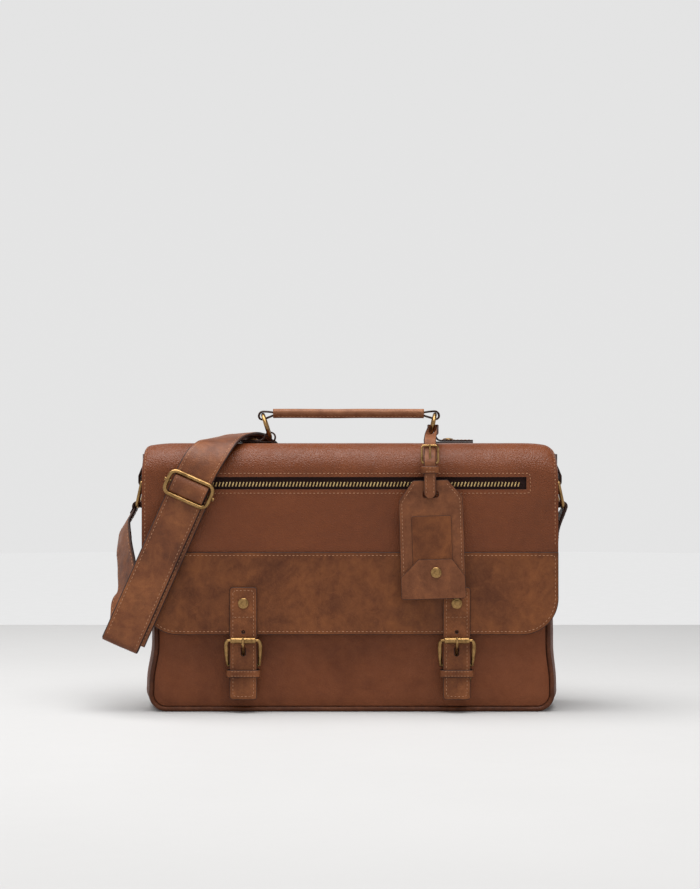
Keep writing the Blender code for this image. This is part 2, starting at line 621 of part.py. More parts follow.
# ---- shoulder strap ----
TILT = math.radians(SHOULDER_TILT)
ALONG = (math.sin(TILT), math.cos(TILT))
ACROSS = (math.cos(TILT), 0.0, -math.sin(TILT))
FRONT_Y = -72.9
UNDER_Y = -69.4
LOOP_Y = -65.9
FOLD_S = -163.0        # the strap doubles back here, measured down from the slider


def along(s, y, side=0.0):
    """A point s along the strap's centre line on the front, and side across it."""
    return (SLIDER_X + ALONG[0] * s + ACROSS[0] * side, y, SLIDER_Z + ALONG[1] * s + ACROSS[2] * side)


run = []
fold_r = (LOOP_Y - FRONT_Y) / 2
for k in range(0, 181, 22):
    a = math.radians(180 - k)
    run.append(along(FOLD_S - fold_r * math.sin(a), (LOOP_Y + FRONT_Y) / 2 - fold_r * math.cos(a)))
run = [along(FOLD_S + 8.0, LOOP_Y)] + run
run += [along(s, FRONT_Y) for s in (-120.0, -80.0, -40.0, 0.0, 16.0)]
front_part = [(p, ACROSS, SHOULDER_W) for p in run]
over = [
    (*along(16.0, FRONT_Y), *ACROSS, 38.0), (-145.0, -70.6, 245.0, 0.93, -0.02, -0.36, 38.0),
    (-138.0, -63.8, 255.5, 0.95, -0.12, -0.26, 38.0), (-130.0, -52.0, 264.6, 0.96, -0.22, -0.06, 38.0),
    (-122.5, -34.0, 269.6, 0.96, -0.25, 0.08, 38.0), (-115.5, -12.0, 272.0, 0.96, -0.25, 0.11, 38.0),
    (-110.0, 10.0, 273.4, 0.97, -0.25, 0.08, 38.0), (-105.0, 28.0, 273.4, 0.96, -0.27, 0.03, 38.0)]
front_part += stations(over, 3)[1:]
ribbon("shoulder_strap_front", front_part, SHOULDER_T, "leather_tan", on=FLAP)
under = [(along(s, UNDER_Y, 5.0), ACROSS, SHOULDER_W - 2.0) for s in (FOLD_S + 4.0, -120.0, -60.0, -4.0)]
ribbon("shoulder_strap_under", under, 2.4, "leather_tan", on=FLAP)
RING_END = 25.0
END_X = DRING_X + RING_END * math.sin(math.radians(12.0))
END_Z = DRING_Z - RING_END * math.cos(math.radians(12.0))
loop_keys = [
    (*along(FOLD_S + 10.5, LOOP_Y), *ACROSS, 38.0),
    (*along(FOLD_S + 17.0, LOOP_Y + 1.2, -0.8), 0.9, -0.14, -0.41, 38.0),
    (-221.0, -57.5, 106.0, 0.70, -0.60, -0.38, 35.6), (-219.0, -50.5, 122.0, 0.56, -0.82, -0.1, 38.0),
    (-221.5, -40.0, 143.0, 0.5, -0.86, 0.0, 38.0), (-225.5, -27.0, 164.0, 0.4, -0.92, 0.0, 38.0),
    (-226.0, -13.0, 180.0, 0.2, -0.98, 0, 37.0), (-220.4, -0.4, 192.4, 0, -1, 0, 34.5)]
left = [(along(FOLD_S + 8.3, LOOP_Y), ACROSS, 38.0), (along(FOLD_S + 9.2, LOOP_Y), ACROSS, 38.0)]
left += stations(loop_keys, 4)
for k in range(-30, 201, 23):
    a = math.radians(k)
    left.append(((-END_X - 3.9 * math.cos(a), 0, END_Z + 3.9 * math.sin(a)), (0, -1, 0), 34.0))
ribbon("shoulder_strap_left_loop", left, SHOULDER_T, "leather_tan")
back_keys = [
    (-104.9, 28.4, 273.4, 0.96, -0.27, 0.03, 38.0), (-100.5, 43.0, 271.6, 0.95, -0.29, 0.0, 38.0),
    (-95.5, 56.5, 266.5, 0.95, -0.28, -0.1, 38.0), (-89.0, 63.5, 252.0, 0.93, -0.1, 0.3, 38.0),
    (-78.0, 66.5, 232.0, 0.87, 0, 0.48, 38.0), (-45.0, 68.0, 182.0, 0.8, 0, 0.6, 38.0),
    (10.0, 68.5, 138.0, 0.55, 0, 0.84, 38.0), (75.0, 68.0, 118.0, 0.15, 0, 1, 38.0),
    (135.0, 67.0, 118.0, -0.2, 0, 1, 38.0), (174.0, 64.5, 129.0, -0.38, 0.15, 0.9, 38.0),
    (195.0, 56.0, 142.0, -0.38, 0.5, 0.8, 38.0), (205.5, 38.0, 155.0, -0.22, 0.75, 0.62, 38.0),
    (208.5, 20.0, 169.0, -0.06, 0.9, 0.4, 38.0), (210.5, 6.0, 183.0, 0, 1, 0.15, 36.0),
    (214.5, 0.3, 194.0, 0, 1, 0, 34.5)]
right = stations(back_keys, 4)
for k in range(-20, 201, 22):
    a = math.radians(k)
    right.append(((END_X + 3.9 * math.cos(a), 0, END_Z + 3.9 * math.sin(a)), (0, 1, 0), 34.0))
ribbon("shoulder_strap_back_run", right, SHOULDER_T, "leather_tan")
RIM_Y = FRONT_Y - 1.4 - GAP - 2.0
rim = rounded([(-22.5, -11.6), (22.5, -11.6), (22.5, 11.6), (-22.5, 11.6)], 6.0, 4)
rim = [along(v, RIM_Y, u) for u, v in rim]
SLIDER = pivot("strap_slider_pivot", along(0.0, RIM_Y))
wire("strap_slider_frame", rim, 2.0, "brass", True, SLIDER)
bar_back = FRONT_Y + 1.4 + GAP + 1.3
bar = [along(0, bar_back, u) for u in (-25.0, -22.6, 0.0, 22.6, 25.0)]
wire("strap_slider_bar", bar, 1.2, "brass", False, SLIDER)
for empty in bpy.context.scene.collection.objects:
    if empty.type == "EMPTY" and empty not in (FLAP, ZIP) and not empty.name.startswith("dring"):
        base = ZIP if empty == PULL else FLAP
        empty.parent = base
        empty.matrix_parent_inverse = Matrix.Translation(-Vector(base.location))
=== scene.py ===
import math

import bmesh
import bpy
import numpy as np
from mathutils import Matrix, Vector, noise
from mathutils.geometry import delaunay_2d_cdt


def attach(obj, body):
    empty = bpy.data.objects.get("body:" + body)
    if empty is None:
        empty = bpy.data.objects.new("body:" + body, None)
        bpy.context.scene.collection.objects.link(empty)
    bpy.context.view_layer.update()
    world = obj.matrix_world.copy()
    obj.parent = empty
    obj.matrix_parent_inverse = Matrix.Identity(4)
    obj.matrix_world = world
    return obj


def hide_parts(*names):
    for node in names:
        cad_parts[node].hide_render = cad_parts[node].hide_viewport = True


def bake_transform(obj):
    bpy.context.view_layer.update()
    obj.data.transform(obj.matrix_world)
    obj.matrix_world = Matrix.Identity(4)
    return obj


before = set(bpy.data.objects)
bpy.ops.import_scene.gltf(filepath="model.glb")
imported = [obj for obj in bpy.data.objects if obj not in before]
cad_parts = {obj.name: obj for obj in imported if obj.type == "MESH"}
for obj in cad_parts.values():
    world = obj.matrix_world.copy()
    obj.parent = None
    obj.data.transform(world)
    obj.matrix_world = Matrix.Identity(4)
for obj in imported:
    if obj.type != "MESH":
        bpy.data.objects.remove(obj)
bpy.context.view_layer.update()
MM = 0.001

# ---- camera, and where the floor paper ends ----
CAMERA_BACK = 2.0617       # distance of the camera from the middle of the bag
CAMERA_HEIGHT = 0.2636
SWEEP_Y = 0.92             # where the floor paper ends behind the bag
scene = bpy.context.scene
scene.view_settings.view_transform = "Standard"
camera = bpy.data.objects.new("camera", bpy.data.cameras.new("camera"))
camera.data.sensor_width = 36.0
camera.data.lens = 82.6
camera.location = (0.0, -CAMERA_BACK, CAMERA_HEIGHT)
camera.rotation_euler = (math.radians(90), 0, 0)
scene.collection.objects.link(camera)
scene.camera = camera


# ---- shader helpers ----
def linear(r, g, b):
    """A linear colour from 0-255 display values."""
    parts = (c / 255 for c in (r, g, b))
    return tuple(c / 12.92 if c < 0.0405 else ((c + 0.055) / 1.055) ** 2.4 for c in parts) + (1.0,)


def shade(colour, factor):
    """A colour made darker or lighter."""
    return tuple(c * factor for c in colour[:3]) + (1,)


class Shader:
    """A material under construction. add() makes a node and sets or links its inputs."""

    def __init__(self, name, roughness=0.5, metallic=0.0, specular=0.5):
        self.mat = bpy.data.materials.new(name)
        self.mat.use_nodes = True
        self.tree = self.mat.node_tree
        self.bsdf = self.tree.nodes["Principled BSDF"]
        self.bsdf.inputs["Roughness"].default_value = roughness
        self.bsdf.inputs["Metallic"].default_value = metallic
        self.bsdf.inputs["Specular IOR Level"].default_value = specular
        self.place = self.add("ShaderNodeTexCoord").outputs["Object"]

    def put(self, socket, value):
        if hasattr(value, "is_linked"):
            self.tree.links.new(value, socket)
        else:
            socket.default_value = value

    def add(self, kind, props=None, **inputs):
        node = self.tree.nodes.new(kind)
        for key, value in (props or {}).items():
            setattr(node, key, value)
        for key, value in inputs.items():
            self.put(node.inputs[int(key[1:]) if key[0] == "i" and key[1:].isdigit() else key], value)
        return node

    def noise(self, scale, detail=4.0, rough=0.55, warp=0.0, stretch=None):
        where = self.place
        if stretch:
            where = self.add("ShaderNodeMapping", Vector=where, Scale=stretch).outputs[0]
        return self.add("ShaderNodeTexNoise", Vector=where, Scale=scale, Detail=detail, Roughness=rough,
                        Distortion=warp).outputs[0]

    def cells(self, scale, feature="F1", warp=None):
        where = self.place
        if warp:
            push = self.add("ShaderNodeTexNoise", Vector=where, Scale=scale * 0.6, Detail=2.0)
            shift = self.add("ShaderNodeVectorMath", {"operation": "SCALE"}, i0=push.outputs["Color"],
                             Scale=warp).outputs[0]
            where = self.add("ShaderNodeVectorMath", {"operation": "ADD"}, i0=where, i1=shift).outputs[0]
        node = self.add("ShaderNodeTexVoronoi", {"feature": feature}, Vector=where, Scale=scale)
        return node.outputs["Distance"]

    def math(self, what, a, b=0.0):
        return self.add("ShaderNodeMath", {"operation": what}, i0=a, i1=b).outputs[0]

    def span(self, value, low, high, to_low=0.0, to_high=1.0):
        return self.add("ShaderNodeMapRange", {"clamp": True}, i0=value, i1=low, i2=high, i3=to_low,
                        i4=to_high).outputs[0]

    def mix(self, share, a, b, how="MIX"):
        node = self.add("ShaderNodeMix", {"data_type": "RGBA", "blend_type": how})
        self.put(node.inputs[0], share)
        self.put(node.inputs[6], a)
        self.put(node.inputs[7], b)
        return node.outputs[2]

    def ramp(self, value, stops):
        node = self.add("ShaderNodeValToRGB", Fac=value)
        line = node.color_ramp
        while len(line.elements) < len(stops):
            line.elements.new(0.5)
        for stop, (at, colour) in zip(line.elements, stops):
            stop.position = at
            stop.color = colour
        return node.outputs[0]

    def bump(self, height, distance, strength=1.0, under=None):
        node = self.add("ShaderNodeBump", Height=height, Distance=distance, Strength=strength)
        if under:
            self.put(node.inputs["Normal"], under)
        return node.outputs[0]

    def done(self, colour, rough=None, normal=None):
        self.put(self.bsdf.inputs["Base Color"], colour)
        if rough:
            self.put(self.bsdf.inputs["Roughness"], rough)
        if normal:
            self.put(self.bsdf.inputs["Normal"], normal)
        return self.mat


# ---- materials ----
def leather(name, dark, mid, light, pebble=0.25, mottle=0.5, scuff=0.0, patch=11.0, gloss=0.5, seed=0.0,
            shine=0.2):
    """Oiled leather: cloudy colour in patches, pebbled grain, pores, worn streaks and soft creases."""
    s = Shader(name, specular=shine)
    s.place = s.add("ShaderNodeMapping", Vector=s.place, Location=(seed, seed * 0.7, seed * 1.3)).outputs[0]
    cloud = s.noise(patch, 6.0, 0.62, 0.8)
    small = s.noise(patch * 5.5, 5.0, 0.68, 0.5)
    tone = s.math("ADD", s.math("MULTIPLY", cloud, 0.6), s.math("MULTIPLY", small, 0.4))
    half = 0.1 + 0.2 * (1.0 - mottle)
    colour = s.ramp(tone, [(0.5 - half, dark), (0.5, mid), (0.5 + half, light)])
    fibre = s.ramp(s.noise(700.0, 3.0, 0.6), [(0.3, (0.6, 0.58, 0.56, 1)), (0.7, (1.35, 1.33, 1.3, 1))])
    colour = s.mix(0.2, colour, fibre, "MULTIPLY")
    if scuff:
        streak = s.noise(38.0, 7.0, 0.75, 1.4, (1.0, 1.0, 0.4))
        rub = s.math("MULTIPLY", s.span(streak, 0.52, 0.66), s.span(s.noise(15.0, 3.0), 0.42, 0.58))
        colour = s.mix(s.math("MULTIPLY", rub, scuff), colour, light)
        stain = s.math("MULTIPLY", s.span(s.noise(29.0, 7.0, 0.74, 1.0), 0.53, 0.66), 0.35 * scuff)
        colour = s.mix(stain, colour, shade(dark, 0.55))
        scratch = s.span(s.cells(24.0, "DISTANCE_TO_EDGE", 0.05), 0.0, 0.012, 1.0, 0.0)
        scratch = s.math("MULTIPLY", scratch, s.span(s.noise(23.0, 2.0), 0.52, 0.64))
        colour = s.mix(s.math("MULTIPLY", scratch, 0.6 * scuff), colour, light)
    worn = s.span(s.add("ShaderNodeNewGeometry").outputs["Pointiness"], 0.53, 0.62)
    colour = s.mix(s.math("MULTIPLY", worn, 0.25), colour, light)
    grain = s.span(s.cells(470.0, "DISTANCE_TO_EDGE", 0.0014), 0.0, 0.34)
    colour = s.mix(s.span(grain, 0.0, 0.4, 0.3 * pebble, 0.0), colour, dark)
    pores = s.noise(1500.0, 2.0, 0.5)
    soft = s.noise(58.0, 3.0, 0.5, 0.4)
    normal = s.bump(soft, 0.0012, 0.35)
    normal = s.bump(grain, 0.0005, pebble, normal)
    normal = s.bump(pores, 0.00015, 0.4, normal)
    rough = s.span(s.noise(70.0, 4.0), 0.3, 0.7, gloss - 0.07, gloss + 0.1)
    return s.done(colour, rough, normal)


def edge_paint(name, colour):
    """The dyed cut edge of leather: nearly matt, with a faint layered fibre line."""
    s = Shader(name, specular=0.3)
    fibre = s.noise(420.0, 4.0, 0.6)
    tint = s.ramp(fibre, [(0.3, shade(colour, 0.7)), (0.7, shade(colour, 1.35))])
    return s.done(tint, s.span(fibre, 0.3, 0.7, 0.5, 0.68), s.bump(fibre, 0.0001, 0.4))


def suede(name, dark, light):
    """The flesh side of leather and the lining: short nap, no gloss."""
    s = Shader(name, roughness=0.9, specular=0.12)
    nap = s.noise(1500.0, 3.0, 0.7)
    cloud = s.noise(24.0, 4.0, 0.6)
    colour = s.ramp(s.math("ADD", s.math("MULTIPLY", nap, 0.35), s.math("MULTIPLY", cloud, 0.65)),
                    [(0.35, dark), (0.65, light)])
    return s.done(colour, s.span(nap, 0.3, 0.7, 0.82, 0.96), s.bump(nap, 0.00018, 0.5))


def brass(name, bright, dull, patina):
    """Antique brass: rubbed bright in places, with brown patina and fine handling marks."""
    s = Shader(name, metallic=1.0)
    stain = s.noise(150.0, 5.0, 0.62, 0.5)
    fine = s.noise(900.0, 4.0, 0.6)
    rub = s.span(s.add("ShaderNodeNewGeometry").outputs["Pointiness"], 0.47, 0.56)
    base = s.mix(s.span(stain, 0.36, 0.62), dull, bright)
    colour = s.mix(s.math("MULTIPLY", s.span(stain, 0.56, 0.76), patina), base, linear(70, 47, 24))
    colour = s.mix(s.math("MULTIPLY", rub, 0.2), colour, bright)
    marks = s.noise(420.0, 6.0, 0.75, 0.0, (1.0, 1.0, 9.0))
    rough = s.span(s.math("ADD", stain, s.math("MULTIPLY", marks, 0.4)), 0.45, 1.0, 0.26, 0.5)
    normal = s.bump(marks, 0.00004, 0.35, s.bump(fine, 0.00006, 0.25))
    return s.done(colour, rough, normal)


def thread(name, colour):
    """Waxed thread with its twist."""
    s = Shader(name, specular=0.25)
    twist = s.add("ShaderNodeTexWave", {"bands_direction": "DIAGONAL"}, Vector=s.place, Scale=900.0,
                  Distortion=1.0).outputs[1]
    tone = s.noise(260.0, 3.0)
    low = shade(colour, 0.72)
    tint = s.mix(s.span(tone, 0.35, 0.65), low, colour)
    return s.done(s.mix(s.math("MULTIPLY", twist, 0.3), tint, low), s.span(tone, 0.3, 0.7, 0.55, 0.75),
                  s.bump(twist, 0.0001, 0.6))


def woven(name, dark, light):
    """Zip tape: a herringbone of fine threads."""
    s = Shader(name, roughness=0.85, specular=0.15)
    lean = [s.add("ShaderNodeTexWave", {"bands_direction": way}, Vector=s.place, Scale=scale).outputs[1]
            for way, scale in (("X", 620.0), ("Z", 520.0))]
    weave = s.math("MULTIPLY", *lean)
    colour = s.ramp(weave, [(0.1, dark), (0.8, light)])
    return s.done(colour, s.span(weave, 0, 1, 0.7, 0.92), s.bump(weave, 0.0002, 0.7))


STUDIO_DARK = (0.03, 0.03, 0.03, 1.0)      # what is under the glow, so that it adds no light of its own


def floor_paper(name, tone, glow, near, far, step):
    """Matt paper that glows evenly beyond step and, with distance, from near to far."""
    s = Shader(name, specular=0.1)
    lit = s.ramp(s.noise(3.0, 2.0), [(0.2, linear(*[tone] * 3)), (0.8, linear(*[tone + 3] * 3))])
    depth = s.add("ShaderNodeSeparateXYZ", Vector=s.place).outputs[1]
    reach = s.add("ShaderNodeVectorMath", {"operation": "LENGTH"}, i0=s.place).outputs["Value"]
    share = s.math("MAXIMUM", s.span(reach, near, far), s.span(depth, step - 0.004, step + 0.004))
    s.bsdf.inputs["Emission Color"].default_value = (1.0, 1.0, 1.0, 1.0)
    s.put(s.bsdf.inputs["Emission Strength"], s.math("MULTIPLY", share, glow))
    rough = s.span(s.noise(40.0), 0.3, 0.7, 0.7, 0.85)
    return s.done(s.mix(share, lit, STUDIO_DARK), rough, s.bump(s.noise(900.0, 2.0), 0.0001, 0.1))


def wall_paper(name, glow):
    """The evenly glowing wall of the studio."""
    s = Shader(name, specular=0.1)
    s.bsdf.inputs["Emission Color"].default_value = (1.0, 1.0, 1.0, 1.0)
    s.bsdf.inputs["Emission Strength"].default_value = glow
    rough = s.span(s.noise(40.0), 0.3, 0.7, 0.7, 0.85)
    return s.done(STUDIO_DARK, rough, s.bump(s.noise(900.0, 2.0), 0.0001, 0.1))


def tan(name, *tones, **how):
    """Leather from its dark, middle and light display values."""
    return leather(name, *[linear(*tone) for tone in tones], **how)


BODY = tan("leather_body", (88, 44, 22), (113, 62, 35), (128, 72, 43), mottle=0.4, scuff=0.2, patch=9.0)
UPPER = tan("leather_flap", (92, 46, 20), (106, 54, 25), (118, 63, 31), pebble=0.5, mottle=0.35, scuff=0.15,
            patch=8.0, gloss=0.42, seed=1.3, shine=0.27)
OVERLAY = tan("leather_overlay", (80, 42, 22), (104, 59, 32), (126, 74, 40), pebble=0.16, mottle=0.75,
              scuff=0.7, patch=17.0, gloss=0.52, seed=2.1)
STRAP = tan("leather_strap", (86, 46, 25), (112, 65, 36), (136, 82, 48), pebble=0.22, mottle=0.7, scuff=0.6,
            patch=30.0, seed=3.7)
TAGGED = tan("leather_tag", (86, 48, 27), (112, 67, 42), (134, 82, 50), pebble=0.18, mottle=0.7, scuff=0.6,
             patch=24.0, gloss=0.52, seed=4.4)
SHOULDER = tan("leather_shoulder", (80, 42, 22), (108, 60, 32), (136, 82, 46), mottle=0.7, scuff=0.6,
               patch=16.0, seed=5.9, shine=0.3)
HANDLE = tan("leather_handle", (102, 60, 39), (134, 88, 61), (158, 109, 78), pebble=0.2, mottle=0.6,
             scuff=0.5, patch=22.0, gloss=0.46, seed=6.2)
GUSSET = tan("leather_gusset", (68, 34, 17), (92, 48, 26), (110, 60, 34), pebble=0.3, mottle=0.4, scuff=0.2,
             patch=9.0, gloss=0.55, seed=7.7)
PIPING = tan("leather_piping", (54, 27, 15), (80, 42, 23), (108, 62, 36), pebble=0.3, mottle=0.6, scuff=0.4,
             patch=30.0, gloss=0.45, seed=8.8)
EDGE = edge_paint("edge_dye", linear(46, 24, 16))
LINING = suede("lining", linear(64, 42, 32), linear(88, 60, 46))
FLESH = suede("flesh_side", linear(92, 60, 42), linear(124, 86, 62))
BRASS = brass("antique_brass", linear(176, 140, 90), linear(116, 88, 54), 0.8)
ZIP_BRASS = brass("zip_brass", linear(214, 186, 132), linear(150, 120, 78), 0.35)
THREAD = thread("thread", linear(184, 136, 102))
TAPE = woven("zip_tape", linear(30, 15, 14), linear(58, 34, 31))
FLOOR = floor_paper("floor_paper", 191, 0.745, 1.1, 2.6, SWEEP_Y)
WALL = wall_paper("wall_paper", 0.75)


# ---- geometry helpers, in millimetres ----
def arc(cx, cy, r, start, end, steps):
    return [(cx + r * math.cos(math.radians(start + (end - start) * i / steps)),
             cy + r * math.sin(math.radians(start + (end - start) * i / steps))) for i in range(steps + 1)]


def rounded(points, radii, steps=7):
    """A closed outline with its corners rounded."""
    out = []
    for i, at in enumerate(points):
        p = Vector(at)
        a = (Vector(points[i - 1]) - p).normalized()
        b = (Vector(points[(i + 1) % len(points)]) - p).normalized()
        r = radii[i] if isinstance(radii, (list, tuple)) else radii
        if r <= 0:
            out.append(tuple(p))
            continue
        half = a.angle(b) / 2
        centre = p + (a + b).normalized() * (r / math.sin(half))
        s = p + a * (r / math.tan(half)) - centre
        e = p + b * (r / math.tan(half)) - centre
        out += [tuple(centre + s.lerp(e, k / steps).normalized() * r) for k in range(steps + 1)]
    return out


def oblong(left, right, low, high, radii, steps=7):
    """A rounded rectangle."""
    return rounded([(left, low), (right, low), (right, high), (left, high)], radii, steps)


def smooth(keys, steps, closed=False):
    """A smooth run of points through the keys, each a tuple of numbers."""
    n = len(keys)
    out = []
    for i in range(n if closed else n - 1):
        if closed:
            p = [keys[(i + k) % n] for k in (-1, 0, 1, 2)]
        else:
            p = [keys[max(i - 1, 0)], keys[i], keys[i + 1], keys[min(i + 2, n - 1)]]
        for k in range(steps):
            t = k / steps
            out.append(tuple(0.5 * ((2 * b) + (c - a) * t + (2 * a - 5 * b + 4 * c - d) * t * t
                                    + (3 * b - a - 3 * c + d) * t ** 3) for a, b, c, d in zip(*p)))
    return out if closed else out + [tuple(keys[-1])]


def even(points, pitch, closed=False):
    """Points along a line, as near to pitch apart as comes out even."""
    line = [Vector(p) for p in points] + ([Vector(points[0])] if closed else [])
    reach = [0.0]
    for a, b in zip(line, line[1:]):
        reach.append(reach[-1] + (b - a).length)
    count = max(1, round(reach[-1] / pitch))
    out = []
    k = 0
    for i in range(count + 1):
        s = min(reach[-1] * i / count, reach[-1])
        while k < len(reach) - 2 and reach[k + 1] < s:
            k += 1
        gap = reach[k + 1] - reach[k]
        out.append(line[k].lerp(line[k + 1], (s - reach[k]) / gap if gap else 0.0))
    return out[:-1] if closed else out


def split(loop, longest):
    """A closed outline with its long edges divided."""
    out = []
    for a, b in zip(loop, loop[1:] + loop[:1]):
        count = max(1, math.ceil(math.dist(a, b) / longest))
        out += [tuple(p + (q - p) * k / count for p, q in zip(a, b)) for k in range(count)]
    return out


def ease(x, low, high):
    t = min(1.0, max(0.0, (x - low) / (high - low)))
    return t * t * (3 - 2 * t)


def wave(x, y, z, size, seed=0.0):
    """Soft noise from -1 to 1 with lumps of the given size."""
    return noise.noise(Vector((x / size + seed, y / size - seed, z / size + 2 * seed))) * 1.6


def build(name, verts, faces, mats, marks=None):
    """A smooth-shaded mesh object. marks gives each face its material's number."""
    mesh = bpy.data.meshes.new(name)
    mesh.from_pydata([Vector(v) * MM for v in verts], [], faces)
    for mat in mats:
        mesh.materials.append(mat)
    if marks:
        mesh.polygons.foreach_set("material_index", marks)
    mesh.polygons.foreach_set("use_smooth", [True] * len(mesh.polygons))
    mesh.update()
    obj = bpy.data.objects.new(name, mesh)
    scene.collection.objects.link(obj)
    return obj


def face_out(obj):
    bm = bmesh.new()
    bm.from_mesh(obj.data)
    bmesh.ops.recalc_face_normals(bm, faces=bm.faces)
    bm.to_mesh(obj.data)
    bm.free()
    return obj


def leather_sheet(obj, thick, rim=1, inner=0, bevel=0.6):
    """Gives an open surface its thickness, away from its face, with a rounded burnished edge; the dark dye on the
    rounding is partly painted shade of the gap along the edge.
    """
    mod = obj.modifiers.new("thickness", "SOLIDIFY")
    mod.thickness = thick * MM
    mod.offset = -1.0
    mod.use_even_offset = True
    mod.material_offset = inner
    mod.material_offset_rim = rim
    mod = obj.modifiers.new("soften", "BEVEL")
    mod.width = bevel * MM
    mod.segments = 3
    mod.limit_method = "ANGLE"
    mod.angle_limit = math.radians(50)
    # the bevel's rounding takes the dark edge dye: partly the real dyed edge, partly painted shade of the gap
    # along the edge
    mod.material = rim
    obj.modifiers.new("shade", "WEIGHTED_NORMAL").weight = 60
    return obj


def inside(x, y, loop):
    """Whether a point is inside a closed outline."""
    hit = False
    for (x0, y0), (x1, y1) in zip(loop, loop[1:] + loop[:1]):
        if (y0 > y) != (y1 > y) and x < (x1 - x0) * (y - y0) / (y1 - y0) + x0:
            hit = not hit
    return hit


def rim_distance(points, loop):
    """Each point's distance from an outline."""
    p = np.array(points, float)
    best = np.full(len(p), 1e9)
    for a, b in zip(loop, loop[1:] + loop[:1]):
        a, d = np.array(a, float), np.array(b, float) - np.array(a, float)
        t = np.clip(((p - a) @ d) / max(d @ d, 1e-9), 0, 1)
        best = np.minimum(best, np.linalg.norm(p - a - t[:, None] * d, axis=1))
    return best


SLIVER = 0.02             # twice the area of the smallest triangle that is kept


def layer(name, loops, shape, thick, mats, step=4.0, **how):
    """A leather layer cut to an outline with holes. shape(a, b, rim) places each point of its face."""
    coords, edges = [], []
    for loop in loops:
        loop = split(loop, step)
        first = len(coords)
        coords += [(p[0], p[1]) for p in loop]
        edges += [(first + i, first + (i + 1) % len(loop)) for i in range(len(loop))]
    outline = [tuple(p) for p in loops[0]]
    xs = [p[0] for p in outline]
    zs = [p[1] for p in outline]
    wide, high = (int((max(v) - min(v)) / step) + 1 for v in (xs, zs))
    grid = [(min(xs) + step * (i + 0.5 * (j % 2)), min(zs) + step * j)
            for i in range(wide) for j in range(high)]
    grid = [p for p in grid if inside(*p, outline) and not any(inside(*p, h) for h in loops[1:])]
    if grid:
        clear = np.min([rim_distance(grid, list(lp)) for lp in loops], axis=0)
        coords += [p for p, d in zip(grid, clear) if d > step * 0.45]
    made = delaunay_2d_cdt([Vector(c) for c in coords], edges, [], 0, 1e-5)
    flat = [(v.x, v.y) for v in made[0]]
    faces = []
    for f in made[2]:
        cx = sum(flat[i][0] for i in f) / len(f)
        cz = sum(flat[i][1] for i in f) / len(f)
        (ax, az), (bx, bz), (ex, ez) = [flat[i] for i in f[:3]]
        sliver = abs((bx - ax) * (ez - az) - (bz - az) * (ex - ax)) < SLIVER
        if not sliver and inside(cx, cz, outline) and not any(inside(cx, cz, h) for h in loops[1:]):
            faces.append(tuple(f))
    rims = rim_distance(flat, outline)
    obj = build(name, [shape(a, b, r) for (a, b), r in zip(flat, rims)], faces, mats)
    return leather_sheet(obj, thick, **how)


def grid_sheet(name, rows, thick, mats, keep=None, **how):
    """A leather sheet through rows of points, with holes where keep(i, j) is false."""
    cols = len(rows[0])
    faces = [(i * cols + j, (i + 1) * cols + j, (i + 1) * cols + j + 1, i * cols + j + 1)
             for i in range(len(rows) - 1) for j in range(cols - 1) if keep is None or keep(i, j)]
    obj = build(name, [p for row in rows for p in row], faces, mats)
    return leather_sheet(obj, thick, **how)


def directions(stations, closed=False):
    """Each station's centre, width direction, outward normal and width."""
    n = len(stations)
    out = []
    for i, (c, w, width) in enumerate(stations):
        before = Vector(stations[(i - 1) % n if closed else max(i - 1, 0)][0])
        after = Vector(stations[(i + 1) % n if closed else min(i + 1, n - 1)][0])
        t = (after - before).normalized()
        w = Vector(w)
        w = (w - t * w.dot(t)).normalized()
        out.append((Vector(c), w, w.cross(t).normalized(), width))
    return out


def band(name, stations, thick, mats, crown=0.0, closed=False, corner=0.4, across=8, ends=0.0, ripple=0.0,
         caps=(True, True)):
    """A strap with rounded dyed edges along stations of (centre, width direction, width).

    ends rounds the strap's tips, crown pads its middle, ripple makes it uneven and caps closes its ends."""
    spots = directions(stations, closed)
    total = [0.0]
    for a, b in zip(spots, spots[1:]):
        total.append(total[-1] + (b[0] - a[0]).length)
    r = corner * thick
    verts, faces, marks = [], [], []
    ring = 0
    for k, (c, w, n, width) in enumerate(spots):
        tip = min(total[k], total[-1] - total[k]) if ends and not closed else 1e9
        if tip < ends:
            width -= 2 * (ends - math.sqrt(max(ends ** 2 - (ends - tip) ** 2, 0.0)))
        h = max(width / 2 - r, 0.2)
        half = [(-h + 2 * h * i / across, thick / 2, 0) for i in range(across + 1)]
        half += [(h + r * math.sin(math.radians(a)), thick / 2 - r + r * math.cos(math.radians(a)), 1)
                 for a in (30, 60, 90)]
        outline = half + [(-a, -b, m) for a, b, m in half]
        ring = len(outline)
        for a, b, _ in outline:
            puff = crown * max(0.0, 1 - (a / (h + r)) ** 2) * (1 if b > 0 else -1)
            if ripple:
                puff += ripple * wave(*(c + w * a), 30.0, 3.0)
            verts.append(c + w * a + n * (b + puff))
    count = len(spots)
    for k in range(count if closed else count - 1):
        q = (k + 1) % count
        for i in range(ring):
            j = (i + 1) % ring
            faces.append((k * ring + i, k * ring + j, q * ring + j, q * ring + i))
            side = i % (ring // 2)
            marks.append(0 if side < across else 1)
    for k, cap in zip((0, count - 1), caps):
        if cap and not closed:
            faces.append(tuple(k * ring + i for i in range(ring)))
            marks.append(1)
    return face_out(build(name, verts, faces, mats, marks))


